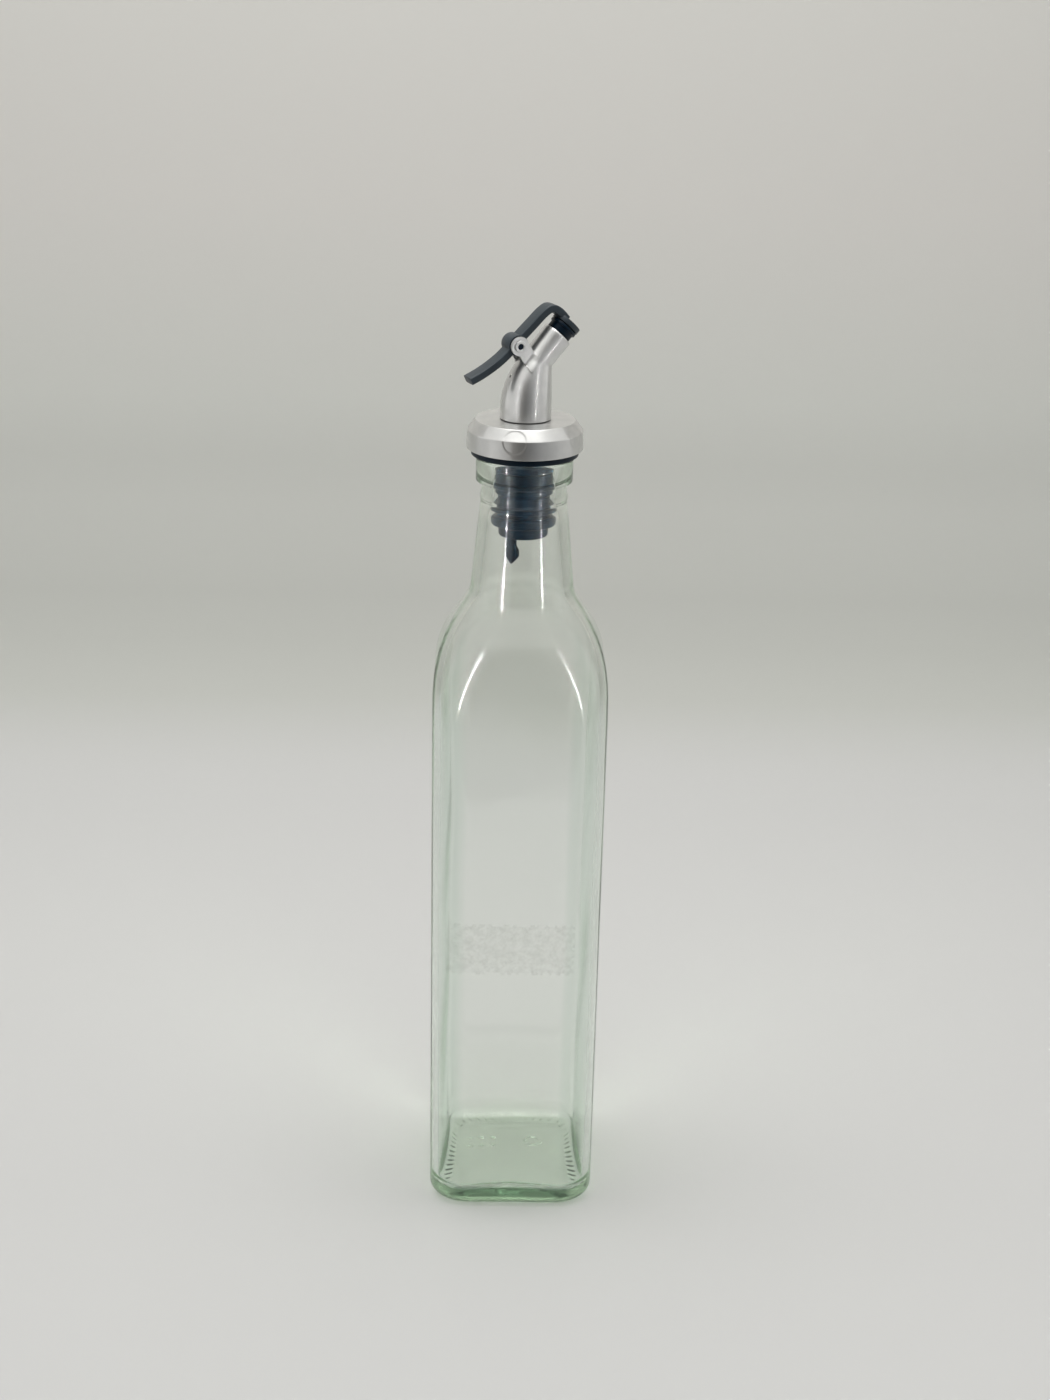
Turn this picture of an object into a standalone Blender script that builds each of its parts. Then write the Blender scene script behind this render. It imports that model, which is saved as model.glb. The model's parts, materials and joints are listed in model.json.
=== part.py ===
"""Square glass oil bottle, empty, with a rubber stopper and a steel lever pourer. Metres, +Z up.

The bottle stands on Z = 0 about the Z axis, its sides along X and Y. The pourer is turned about
that axis by POURER_TURN, and its spout, ears and lever are drawn in an upright plane: "out" is the
distance from the axis towards the mouth, and "side" the distance from the plane, along the pin.
"""

import math

import bmesh
import bpy
from mathutils import Matrix, Vector

# Glass
SIDE = 0.0575
CORNER_RADIUS = 0.0125
HEEL_RADIUS = 0.0045
GLASS_HEIGHT = 0.266
WALL = 0.0027
INNER_CORNER_RADIUS = 0.0102
FLOOR = 0.0052
FLOOR_FILLET = 0.006
FLOOR_RISE = 0.0012
BEARING_WIDTH = 0.0025
PUNT_DEPTH = 0.0012

# Shoulder and neck: a dome of half-ellipse section runs into a slightly conical neck
DOME_RADIUS = 0.038
DOME_BASE = 0.1565
DOME_HEIGHT = 0.066
DOME_SPREAD = 0.15
DOME_BLEND = 0.0051
SHOULDER_FOOT = 0.182
SHOULDER_TOP = 0.222
NECK_BLEND = 0.0118
NECK_TOP = 0.256
NECK_RADIUS = 0.01356
NECK_TAPER = 0.098
NECK_WALL = 0.0033

# Lip and bore
LIP_RADIUS = 0.0156
LIP_FOOT = 0.2576
LIP_ROUND = 0.0014
LIP_EDGE = 0.0006
BORE_RADIUS = 0.010
BORE_FOOT = 0.2525
BORE_FLARE = 0.007

# Stopper
GASKET_RADIUS = 0.0172
GASKET_THICKNESS = 0.0019
STOPPER_BOTTOM = 0.2398
PLUG_TOP_RADIUS = 0.0093
PLUG_TOP_FOOT = 0.2545
PLUG_RADIUS = 0.0084
PLUG_TIP_RADIUS = 0.0080
PLUG_TIP_CHAMFER = 0.0005
TIGHT_FIN_RADIUS = 0.0097
FREE_FIN_RADIUS = 0.0103
TIGHT_FINS = ((0.2637, 0.2615), (0.2583, 0.2561))
FREE_FINS = ((0.2508, 0.2483), (0.2470, 0.2435))
FIN_ROUND = 0.0010
STOPPER_HEAD_RADIUS = 0.0150
FLOW_BORE_RADIUS = 0.0032
FLOW_BORE_X = 0.0016

# Air tail under the stopper
TAIL_X = -0.0037
TAIL_HEAD_SHIFT = 0.0004
TAIL_WIDTH = 0.0034
TAIL_SHANK = 0.0040
TAIL_HEAD_WIDTH = 0.0043
TAIL_HEAD = 0.0032
TAIL_POINT = 0.0026

# Collar
COLLAR_FOOT = 0.2685
COLLAR_RADIUS = 0.0187
COLLAR_EDGE_RADIUS = 0.0185
COLLAR_EDGE = 0.2743
COLLAR_TOP_RADIUS = 0.0159
COLLAR_TOP = 0.2777
COLLAR_SKIN = 0.0021
COLLAR_HOLE_RADIUS = 0.0055

# Spout: an upright tube that narrows as it bends over to a straight, leaning mouth tube
POURER_TURN = math.radians(24.0)
SPOUT_RADIUS = 0.0082
SPOUT_WALL = 0.0008
MOUTH_RADIUS = 0.0050
MOUTH_OUT = 0.0104
MOUTH_Z = 0.30375
MOUTH_LEAN = math.radians(43.0)
BEND_START = 0.2805
BEND_RADIUS = 0.025
VENT_RADIUS = 0.00035
VENT_Z = 0.2915

# Ears, pin and lever
PIN_OUT = -0.00415
PIN_Z = 0.3015
PIN_RADIUS = 0.00135
PIN_BORE_RADIUS = 0.00095
PIN_HEAD_RADIUS = 0.0019
PIN_HEAD_THICKNESS = 0.0005
EAR_THICKNESS = 0.0007
EAR_INSIDE = 0.0033
EAR_HEAD_RADIUS = 0.0030
EAR_FOOT_LEAN = math.radians(35.0)
EAR_FOOT_LENGTH = 0.0059
EAR_HEAD_ALONG = 0.0019
EAR_HEAD_UP = 0.0073
EAR_SHOULDER = (0.0027, 0.0018)
LEVER_WIDTH = 0.0056
LEVER_THICKNESS = 0.0024
HUB_RADIUS = 0.0033
HUB_WIDTH = 0.0060
CAP_RADIUS = 0.0047
CAP_THICKNESS = 0.0016
CAP_LIFT = 0.0037
# The lever's middle line from the thumb end to the cap, measured from the pin
LEVER_LINE = (
    (-0.0157, -0.0102),
    (-0.0122, -0.0086),
    (-0.0088, -0.0067),
    (-0.0054, -0.0044),
    (-0.0025, -0.0019),
    (0.0013, 0.0021),
    (0.0053, 0.0059),
    (0.0093, 0.0096),
    (0.0118, 0.0108),
    (0.0143, 0.0097),
    (0.0167, 0.0072),
)

# Seal under the lever's cap
SEAL_FLANGE_RADIUS = 0.0046
SEAL_BODY_RADIUS = 0.0041
SEAL_PLUG_RADIUS = 0.0034
SEAL_PLUG_TIP = 0.0015
SEAL_STEP = 0.0024
SEAL_PLUG_DEPTH = 0.0016

# Fineness, and the clearance between neighbouring pieces
GAP = 0.0003
TURN_STEPS = 40
TUBE_STEPS = 24
SMALL_STEPS = 16

HALF = SIDE / 2
POURER_OUT = Vector((math.cos(POURER_TURN), math.sin(POURER_TURN), 0.0))
POURER_SIDE = Vector((-math.sin(POURER_TURN), math.cos(POURER_TURN), 0.0))
UP = Vector((0.0, 0.0, 1.0))


def clear_scene():
    for obj in list(bpy.data.objects):
        bpy.data.objects.remove(obj, do_unlink=True)


def material(name, colour, roughness, metallic=0.0, transmission=0.0):
    made = bpy.data.materials.new(name)
    made.use_nodes = True
    shader = made.node_tree.nodes["Principled BSDF"]
    shader.inputs["Base Color"].default_value = (*colour, 1.0)
    shader.inputs["Roughness"].default_value = roughness
    shader.inputs["Metallic"].default_value = metallic
    shader.inputs["Transmission Weight"].default_value = transmission
    made.diffuse_color = (*colour, 1.0)
    return made


def finish(name, bm, look):
    """Turns a bmesh into a named object that faces outwards and is shaded smooth."""
    bmesh.ops.remove_doubles(bm, verts=bm.verts, dist=1e-7)
    bmesh.ops.recalc_face_normals(bm, faces=bm.faces)
    mesh = bpy.data.meshes.new(name)
    bm.to_mesh(mesh)
    bm.free()
    mesh.shade_smooth()
    mesh.set_sharp_from_angle(angle=math.radians(35))
    mesh.materials.append(look)
    obj = bpy.data.objects.new(name, mesh)
    bpy.context.scene.collection.objects.link(obj)
    return obj


def skinned(rings, closed=False):
    """Extrudes a ring of edges from each ring of points to the next. Open ends are filled."""
    bm = bmesh.new()
    current = [bm.verts.new(point) for point in rings[0]]
    edges = [bm.edges.new(pair) for pair in zip(current, current[1:] + current[:1])]
    ends = edges
    for ring in rings[1:] + (rings[:1] if closed else []):
        grown = bmesh.ops.extrude_edge_only(bm, edges=edges)["geom"]
        fresh = {item for item in grown if isinstance(item, bmesh.types.BMVert)}
        ahead = []
        for vert, point in zip(current, ring):
            others = [edge.other_vert(vert) for edge in vert.link_edges]
            twin = next(other for other in others if other in fresh)
            twin.co = point
            ahead.append(twin)
        current = ahead
        edges = [item for item in grown if isinstance(item, bmesh.types.BMEdge)]
        edges = [edge for edge in edges if set(edge.verts) <= fresh]
    if not closed:
        bmesh.ops.edgeloop_fill(bm, edges=ends)
        bmesh.ops.edgeloop_fill(bm, edges=edges)
    return bm


def turned(profile, steps):
    """Spins a closed profile of (radius, z) points about the Z axis."""
    bm = bmesh.new()
    verts = [bm.verts.new((radius, 0.0, z)) for radius, z in profile]
    edges = [bm.edges.new(pair) for pair in zip(verts, verts[1:] + verts[:1])]
    axis_edges = [edge for edge in edges if all(vert.co.x == 0 for vert in edge.verts)]
    bmesh.ops.delete(bm, geom=axis_edges, context="EDGES_FACES")
    geom = bm.verts[:] + bm.edges[:]
    bmesh.ops.spin(bm, geom=geom, axis=UP, cent=(0, 0, 0), angle=2 * math.pi, steps=steps, use_merge=True)
    return bm


def cylinder(radius, length, steps, matrix):
    """A closed cylinder along the matrix's Z, centred on its origin."""
    bm = bmesh.new()
    bmesh.ops.create_cone(
        bm, cap_ends=True, segments=steps, radius1=radius, radius2=radius, depth=length, matrix=matrix
    )
    return bm


def cut(target, cutter_bm, name):
    """Cuts a hole through an object with a Boolean, and applies it."""
    cutter = finish(name, cutter_bm, target.data.materials[0])
    modifier = target.modifiers.new(name, "BOOLEAN")
    modifier.operation = "DIFFERENCE"
    modifier.object = cutter
    apply_modifiers(target)
    bpy.data.objects.remove(cutter, do_unlink=True)


def fuse(target, added_bm, name):
    """Joins another closed shape to an object with a Boolean union, and applies it."""
    added = finish(name, added_bm, target.data.materials[0])
    modifier = target.modifiers.new(name, "BOOLEAN")
    modifier.operation = "UNION"
    modifier.object = added
    apply_modifiers(target)
    bpy.data.objects.remove(added, do_unlink=True)


def apply_modifiers(obj):
    bpy.context.view_layer.update()
    graph = bpy.context.evaluated_depsgraph_get()
    mesh = bpy.data.meshes.new_from_object(obj.evaluated_get(graph))
    obj.modifiers.clear()
    obj.data = mesh


def smooth_min(a, b, width):
    share = min(max(0.5 + 0.5 * (b - a) / width, 0.0), 1.0)
    return b * (1 - share) + a * share - width * share * (1 - share)


def smooth_max(a, b, width):
    return -smooth_min(-a, -b, width)


def section_angles():
    """Angles round the square section, closer together on its corners."""
    flat = math.atan2(HALF - CORNER_RADIUS, HALF)
    quarter = [flat * step / 3 for step in range(3)]
    quarter += [flat + (math.pi / 2 - 2 * flat) * step / 6 for step in range(7)]
    quarter += [math.pi / 2 - flat * step / 3 for step in (2, 1)]
    return [angle + turn * math.pi / 2 for turn in range(4) for angle in quarter]


def square_radius(angle, half, corner):
    """Distance from the centre to a square of rounded corners, at an angle."""
    cosine = abs(math.cos(angle))
    sine = abs(math.sin(angle))
    large = max(cosine, sine)
    small = min(cosine, sine)
    if half / large * small <= half - corner:
        return half / large
    centre = (half - corner) * (cosine + sine)
    return centre + math.sqrt(max(centre**2 - 2 * (half - corner) ** 2 + corner**2, 0.0))


def square_ring(z, half, corner):
    radii = [(angle, square_radius(angle, half, corner)) for angle in section_angles()]
    return [Vector((r * math.cos(angle), r * math.sin(angle), z)) for angle, r in radii]


def dome_radius(z, shrink, neck):
    """Radius of the dome and the neck above it, both drawn in by a wall."""
    rise = min(max((z - DOME_BASE) / (DOME_HEIGHT - shrink), 0.0), 1.0)
    dome = (DOME_RADIUS - shrink) * math.sqrt(1 - rise**2)
    dome += max(DOME_BASE - z, 0.0) * DOME_SPREAD
    return smooth_max(neck, dome, NECK_BLEND)


def body_ring(z, half, corner, shrink, neck):
    """The square section, which shrinks under the dome as its corners turn round."""
    reach = smooth_min(half, dome_radius(z, shrink, neck), DOME_BLEND)
    share = min(max((z - SHOULDER_FOOT) / (SHOULDER_TOP - SHOULDER_FOOT), 0.0), 1.0) ** 1.3
    return square_ring(z, reach, corner + (reach - corner) * share)


def outer_neck(z):
    return NECK_RADIUS + (NECK_TOP - z) * NECK_TAPER


def inner_neck(z):
    """The bore: straight in the lip, then flaring to leave an even neck wall."""
    wide = outer_neck(z) - NECK_WALL
    share = min(max((BORE_FOOT - z) / BORE_FLARE, 0.0), 1.0)
    share = share * share * (3 - 2 * share)
    return BORE_RADIUS + (wide - BORE_RADIUS) * share


def levels(low, high, count):
    return [low + (high - low) * step / count for step in range(count + 1)]


def glass_rings():
    """Rings from the middle of the underside, up the outside, and down the inside to the floor."""
    bearing = HALF - HEEL_RADIUS
    punt = bearing - BEARING_WIDTH
    rings = [square_ring(PUNT_DEPTH, punt * 0.35, CORNER_RADIUS * 0.25)]
    rings.append(square_ring(PUNT_DEPTH * 0.75, punt * 0.75, CORNER_RADIUS * 0.4))
    rings.append(square_ring(0.0, punt, CORNER_RADIUS * 0.45))
    for turn in levels(0.0, math.pi / 2, 5):
        inset = HEEL_RADIUS * (1 - math.sin(turn))
        z = HEEL_RADIUS * (1 - math.cos(turn))
        rings.append(square_ring(z, HALF - inset, CORNER_RADIUS - inset * 0.6))
    for z in levels(0.120, 0.160, 2) + levels(0.166, 0.232, 16) + [0.244]:
        rings.append(body_ring(z, HALF, CORNER_RADIUS, 0.0, outer_neck(z)))
    for radius, z in lip_profile():
        rings.append(square_ring(z, radius, radius))
    for z in (0.2495, 0.2465, 0.2430) + tuple(levels(0.236, 0.166, 15)) + (0.150, 0.120):
        rings.append(body_ring(z, HALF - WALL, INNER_CORNER_RADIUS, WALL, inner_neck(z)))
    for turn in levels(0.0, math.pi / 2, 4):
        inset = FLOOR_FILLET * (1 - math.cos(turn))
        z = FLOOR + FLOOR_FILLET * (1 - math.sin(turn))
        rings.append(square_ring(z, HALF - WALL - inset, INNER_CORNER_RADIUS - inset * 0.6))
    rings.append(square_ring(FLOOR + FLOOR_RISE, HALF * 0.3, CORNER_RADIUS * 0.3))
    return rings


def lip_profile():
    """(radius, z) from the neck, round the lip, to the foot of the straight bore."""
    points = [(outer_neck(LIP_FOOT), LIP_FOOT - LIP_EDGE)]
    points.append((outer_neck(LIP_FOOT) + LIP_EDGE, LIP_FOOT))
    points.append((LIP_RADIUS - LIP_EDGE, LIP_FOOT))
    points.append((LIP_RADIUS, LIP_FOOT + LIP_EDGE))
    for turn in levels(0.0, math.pi / 2, 3):
        radius = LIP_RADIUS - LIP_ROUND * (1 - math.cos(turn))
        points.append((radius, GLASS_HEIGHT - LIP_ROUND * (1 - math.sin(turn))))
    for turn in levels(0.0, math.pi / 2, 2):
        radius = BORE_RADIUS + LIP_ROUND / 2 * (1 - math.sin(turn))
        points.append((radius, GLASS_HEIGHT - LIP_ROUND / 2 * (1 - math.cos(turn))))
    points.append((BORE_RADIUS, BORE_FOOT))
    return points


def make_glass(look):
    return finish("bottle_glass", skinned(glass_rings()), look)


def fin_profile(top, foot, radius, root):
    """A round-edged fin that stands out from the plug, top to bottom."""
    edge = FIN_ROUND * 0.3
    points = [(root, top), (radius - FIN_ROUND, top), (radius - edge, top - edge), (radius, top - FIN_ROUND)]
    points += [(radius, foot + FIN_ROUND), (radius - edge, foot + edge), (radius - FIN_ROUND, foot)]
    return points + [(root, foot)]


def make_stopper(look):
    gasket_foot = GLASS_HEIGHT + GAP
    gasket_top = gasket_foot + GASKET_THICKNESS
    head_top = COLLAR_TOP - COLLAR_SKIN - GAP
    profile = [(0.0, head_top), (STOPPER_HEAD_RADIUS, head_top), (STOPPER_HEAD_RADIUS, gasket_top)]
    profile += [(GASKET_RADIUS, gasket_top), (GASKET_RADIUS, gasket_foot), (PLUG_TOP_RADIUS, gasket_foot)]
    for top, foot in TIGHT_FINS:
        profile += fin_profile(top, foot, TIGHT_FIN_RADIUS, PLUG_TOP_RADIUS)
    profile += [(PLUG_TOP_RADIUS, PLUG_TOP_FOOT), (PLUG_RADIUS, PLUG_TOP_FOOT - FIN_ROUND)]
    for top, foot in FREE_FINS:
        profile += fin_profile(top, foot, FREE_FIN_RADIUS, PLUG_RADIUS)
    profile += [(PLUG_TIP_RADIUS, FREE_FINS[1][1] - FIN_ROUND)]
    profile += [(PLUG_TIP_RADIUS, STOPPER_BOTTOM + PLUG_TIP_CHAMFER)]
    profile += [(PLUG_TIP_RADIUS - PLUG_TIP_CHAMFER, STOPPER_BOTTOM), (0.0, STOPPER_BOTTOM)]
    stopper = finish("stopper", turned(profile, TURN_STEPS), look)
    middle = (head_top + STOPPER_BOTTOM) / 2
    bore = Matrix.Translation((FLOW_BORE_X, 0.0, middle))
    cut(stopper, cylinder(FLOW_BORE_RADIUS, head_top - STOPPER_BOTTOM + 0.01, SMALL_STEPS, bore), "flow_bore")
    return stopper


def make_air_tail(look):
    """The flat tail of the air way, with a wider head that ends in a point."""
    top = STOPPER_BOTTOM - GAP
    neck = top - TAIL_SHANK
    head = neck - TAIL_HEAD
    sections = [
        (top, TAIL_X, TAIL_WIDTH, TAIL_WIDTH),
        (neck, TAIL_X, TAIL_WIDTH, TAIL_WIDTH),
        (neck - TAIL_HEAD * 0.4, TAIL_X + TAIL_HEAD_SHIFT, TAIL_HEAD_WIDTH, TAIL_WIDTH),
        (head, TAIL_X + TAIL_HEAD_SHIFT, TAIL_HEAD_WIDTH, TAIL_WIDTH),
        (head - TAIL_POINT, TAIL_X, TAIL_WIDTH * 0.15, TAIL_WIDTH * 0.3),
    ]
    rings = []
    for z, centre, width, depth in sections:
        ring = []
        for step in range(SMALL_STEPS):
            angle = 2 * math.pi * step / SMALL_STEPS
            across = width / 2 * math.cos(angle)
            ring.append(Vector((centre + across, depth / 2 * math.sin(angle), z)))
        rings.append(ring)
    return finish("air_tail", skinned(rings), look)


def make_collar(look):
    recess = STOPPER_HEAD_RADIUS + GAP
    roof = COLLAR_TOP - COLLAR_SKIN
    profile = [
        (COLLAR_HOLE_RADIUS, COLLAR_TOP),
        (COLLAR_TOP_RADIUS, COLLAR_TOP),
        (COLLAR_EDGE_RADIUS, COLLAR_EDGE),
        (COLLAR_RADIUS, COLLAR_FOOT),
        (recess, COLLAR_FOOT),
        (recess, roof),
        (COLLAR_HOLE_RADIUS, roof),
    ]
    return finish("collar", turned(profile, TURN_STEPS), look)


def in_plane(out, side, z):
    """A point of the pourer's plane, moved off it along the pin."""
    return POURER_OUT * out + POURER_SIDE * side + UP * z


def mouth_axis():
    """Unit vectors (out, z) along the mouth tube, and across it towards the underside."""
    along = (math.sin(MOUTH_LEAN), math.cos(MOUTH_LEAN))
    across = (math.cos(MOUTH_LEAN), -math.sin(MOUTH_LEAN))
    return along, across


def spout_edges(station):
    """The (out, z) ends of the spout's cross-section, on its back and on its inner side.

    Station 0 is the foot, 1 the start of the bend, 2 its end and 3 the mouth.
    """
    along, across = mouth_axis()
    mouth_back = (MOUTH_OUT - MOUTH_RADIUS * across[0], MOUTH_Z - MOUTH_RADIUS * across[1])
    mouth_front = (MOUTH_OUT + MOUTH_RADIUS * across[0], MOUTH_Z + MOUTH_RADIUS * across[1])
    reach = (mouth_front[0] - SPOUT_RADIUS) / along[0]
    kink = (SPOUT_RADIUS, mouth_front[1] - reach * along[1])
    foot_z = COLLAR_TOP + GAP
    centre = (-SPOUT_RADIUS + BEND_RADIUS, BEND_START)
    if station <= 1:
        z = foot_z + (BEND_START - foot_z) * station
        return (-SPOUT_RADIUS, z), (SPOUT_RADIUS, z)
    share = min(station - 1, 1.0)
    turn = MOUTH_LEAN * share
    back = (centre[0] - BEND_RADIUS * math.cos(turn), centre[1] + BEND_RADIUS * math.sin(turn))
    front = (kink[0], BEND_START + (kink[1] - BEND_START) * share)
    if station > 2:
        share = station - 2
        back = tuple(a + (b - a) * share for a, b in zip(back, mouth_back))
        front = tuple(a + (b - a) * share for a, b in zip(front, mouth_front))
    return back, front


def spout_section(station):
    """Centre (out, z), radius, and unit vector from the centre to the inner side."""
    back, front = spout_edges(station)
    centre = ((back[0] + front[0]) / 2, (back[1] + front[1]) / 2)
    reach = (front[0] - centre[0], front[1] - centre[1])
    radius = math.hypot(*reach)
    return centre, radius, (reach[0] / radius, reach[1] / radius)


def spout_ring(station, inset):
    centre, radius, reach = spout_section(station)
    radius -= inset
    ring = []
    for step in range(TUBE_STEPS):
        angle = 2 * math.pi * step / TUBE_STEPS
        along = radius * math.cos(angle)
        side = radius * math.sin(angle)
        ring.append(in_plane(centre[0] + along * reach[0], side, centre[1] + along * reach[1]))
    return ring


def make_spout(look):
    stations = [0.0, 1.0] + levels(1.2, 2.0, 4) + levels(2.25, 3.0, 3)
    rings = [spout_ring(station, 0.0) for station in stations]
    rings += [spout_ring(station, SPOUT_WALL) for station in reversed(stations)]
    spout = finish("spout", skinned(rings, closed=True), look)
    place = in_plane(-SPOUT_RADIUS, 0.0, VENT_Z)
    turn = Matrix.Rotation(POURER_TURN, 4, "Z") @ Matrix.Rotation(math.pi / 2, 4, "Y")
    vent = Matrix.Translation(place) @ turn
    cut(spout, cylinder(VENT_RADIUS, 0.006, 8, vent), "vent")
    return spout


def spout_half_depth(out, z):
    """How far the spout's outside stands from its plane at a point of the plane."""
    best = (1.0, 0.0)
    for station in levels(1.0, 3.0, 80):
        centre, radius, reach = spout_section(station)
        offset = (out - centre[0], z - centre[1])
        along = offset[0] * reach[0] + offset[1] * reach[1]
        miss = abs(offset[0] * reach[1] - offset[1] * reach[0])
        if miss < best[0]:
            best = (miss, math.sqrt(max(radius**2 - along**2, 0.0)))
    return best[1]


def pin_frame(side):
    """A frame at the pin whose Z runs along it, away from the front."""
    turn = Matrix.Rotation(POURER_TURN, 4, "Z") @ Matrix.Rotation(-math.pi / 2, 4, "X")
    return Matrix.Translation(in_plane(PIN_OUT, side, PIN_Z)) @ turn


def ear_outline():
    """(along, up) points of an ear, from its foot's front corner round the head to the back one."""
    points = [(EAR_FOOT_LENGTH / 2, 0.0), EAR_SHOULDER]
    for turn in levels(math.radians(-15), math.radians(215), 12):
        along = EAR_HEAD_ALONG + EAR_HEAD_RADIUS * math.cos(turn)
        points.append((along, EAR_HEAD_UP + EAR_HEAD_RADIUS * math.sin(turn)))
    points.append((-EAR_FOOT_LENGTH / 2, 0.0))
    return points


def ear_point(along, up):
    """(out, z) of a point of an ear, whose head is centred on the pin."""
    along -= EAR_HEAD_ALONG
    up -= EAR_HEAD_UP
    sine = math.sin(EAR_FOOT_LEAN)
    cosine = math.cos(EAR_FOOT_LEAN)
    return PIN_OUT + along * sine - up * cosine, PIN_Z + along * cosine + up * sine


def make_ear(name, sign, look):
    """A plate that stands clear of the lever, and whose foot lies on the side of the spout."""
    bm = bmesh.new()
    bm.faces.new([bm.verts.new((along, up, 0.0)) for along, up in ear_outline()])
    for up in levels(0.0, EAR_HEAD_UP, 7)[1:]:
        geom = bm.verts[:] + bm.edges[:] + bm.faces[:]
        bmesh.ops.bisect_plane(bm, geom=geom, plane_co=(0.0, up, 0.0), plane_no=(0.0, 1.0, 0.0))
    for along in (0.0, EAR_HEAD_ALONG):
        geom = bm.verts[:] + bm.edges[:] + bm.faces[:]
        bmesh.ops.bisect_plane(bm, geom=geom, plane_co=(along, 0.0, 0.0), plane_no=(1.0, 0.0, 0.0))
    bmesh.ops.triangulate(bm, faces=bm.faces)
    inner = bm.verts[:]
    extruded = bmesh.ops.extrude_face_region(bm, geom=bm.faces[:])["geom"]
    outer = {item for item in extruded if isinstance(item, bmesh.types.BMVert)}
    for vert in inner + list(outer):
        out, z = ear_point(vert.co.x, vert.co.y)
        side = smooth_max(EAR_INSIDE, spout_half_depth(out, z) + GAP, 0.0012)
        side += EAR_THICKNESS if vert in outer else 0.0
        vert.co = in_plane(out, sign * side, z)
    ear = finish(name, bm, look)
    cut(ear, cylinder(PIN_RADIUS + GAP, 0.02, SMALL_STEPS, pin_frame(0.0)), "pin_hole")
    return ear


def make_pin(look):
    """A hollow rivet with a flat head outside each ear."""
    head = EAR_INSIDE + EAR_THICKNESS + GAP / 2
    end = head + PIN_HEAD_THICKNESS
    profile = [
        (PIN_BORE_RADIUS, end),
        (PIN_HEAD_RADIUS, end),
        (PIN_HEAD_RADIUS, head),
        (PIN_RADIUS, head),
        (PIN_RADIUS, -head),
        (PIN_HEAD_RADIUS, -head),
        (PIN_HEAD_RADIUS, -end),
        (PIN_BORE_RADIUS, -end),
    ]
    bm = turned(profile, SMALL_STEPS)
    bmesh.ops.transform(bm, matrix=pin_frame(0.0), verts=bm.verts)
    return finish("pin", bm, look)


def curve_point(points, share):
    """A point of a smooth curve through the points, by Catmull and Rom's rule."""
    place = min(share * (len(points) - 1), len(points) - 1.001)
    index = int(place)
    t = place - index
    before = points[max(index - 1, 0)]
    start = points[index]
    end = points[index + 1]
    after = points[min(index + 2, len(points) - 1)]
    made = []
    for a, b, c, d in zip(before, start, end, after):
        slope_start = (c - a) / 2
        slope_end = (d - b) / 2
        cubic = (2 * t**3 - 3 * t**2 + 1) * b + (t**3 - 2 * t**2 + t) * slope_start
        made.append(cubic + (3 * t**2 - 2 * t**3) * c + (t**3 - t**2) * slope_end)
    return made


def lever_ring(share):
    """A flat section with bevelled edges, square to the lever's middle line."""
    out, up = curve_point(LEVER_LINE, share)
    before = curve_point(LEVER_LINE, max(share - 0.01, 0.0))
    after = curve_point(LEVER_LINE, min(share + 0.01, 1.0))
    length = math.hypot(after[0] - before[0], after[1] - before[1])
    normal = (-(after[1] - before[1]) / length, (after[0] - before[0]) / length)
    half = LEVER_THICKNESS / 2
    width = LEVER_WIDTH / 2
    bevel = 0.0005
    corners = [(half, width - bevel), (half - bevel, width), (-half + bevel, width), (-half, width - bevel)]
    corners += [(-thick, -side) for thick, side in corners]
    ring = []
    for thick, side in corners:
        ring.append(in_plane(PIN_OUT + out + thick * normal[0], side, PIN_Z + up + thick * normal[1]))
    return ring


def mouth_frame(lift):
    """A frame on the mouth's axis, whose Z points out of the mouth."""
    along, across = mouth_axis()
    turn = Matrix.Rotation(POURER_TURN, 4, "Z") @ Matrix.Rotation(MOUTH_LEAN, 4, "Y")
    place = in_plane(MOUTH_OUT + along[0] * lift, 0.0, MOUTH_Z + along[1] * lift)
    return Matrix.Translation(place) @ turn


def make_lever(look):
    rings = [lever_ring(share) for share in levels(0.0, 1.0, 22)]
    lever = finish("lever", skinned(rings), look)
    fuse(lever, cylinder(HUB_RADIUS, HUB_WIDTH, TUBE_STEPS, pin_frame(0.0)), "hub")
    cap = mouth_frame(CAP_LIFT + CAP_THICKNESS / 2)
    fuse(lever, cylinder(CAP_RADIUS, CAP_THICKNESS, TUBE_STEPS, cap), "cap")
    cut(lever, cylinder(PIN_RADIUS + GAP, 0.02, SMALL_STEPS, pin_frame(0.0)), "pin_hole")
    return lever


def make_seal(look):
    top = CAP_LIFT - GAP
    profile = [
        (0.0, top),
        (SEAL_FLANGE_RADIUS, top),
        (SEAL_FLANGE_RADIUS, SEAL_STEP),
        (SEAL_BODY_RADIUS, SEAL_STEP),
        (SEAL_BODY_RADIUS, GAP),
        (SEAL_PLUG_RADIUS, GAP),
        (SEAL_PLUG_TIP, -SEAL_PLUG_DEPTH),
        (0.0, -SEAL_PLUG_DEPTH),
    ]
    bm = turned(profile, TUBE_STEPS)
    bmesh.ops.transform(bm, matrix=mouth_frame(0.0), verts=bm.verts)
    return finish("seal", bm, look)


def hang_on_pivot(*moving):
    """Parents the moving pieces to an empty on the lever's axis, without moving them."""
    pivot = bpy.data.objects.new("lever_pivot", None)
    pivot.matrix_world = pin_frame(0.0)
    bpy.context.scene.collection.objects.link(pivot)
    bpy.context.view_layer.update()
    for obj in moving:
        obj.parent = pivot
        obj.matrix_parent_inverse = pivot.matrix_world.inverted()


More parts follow.
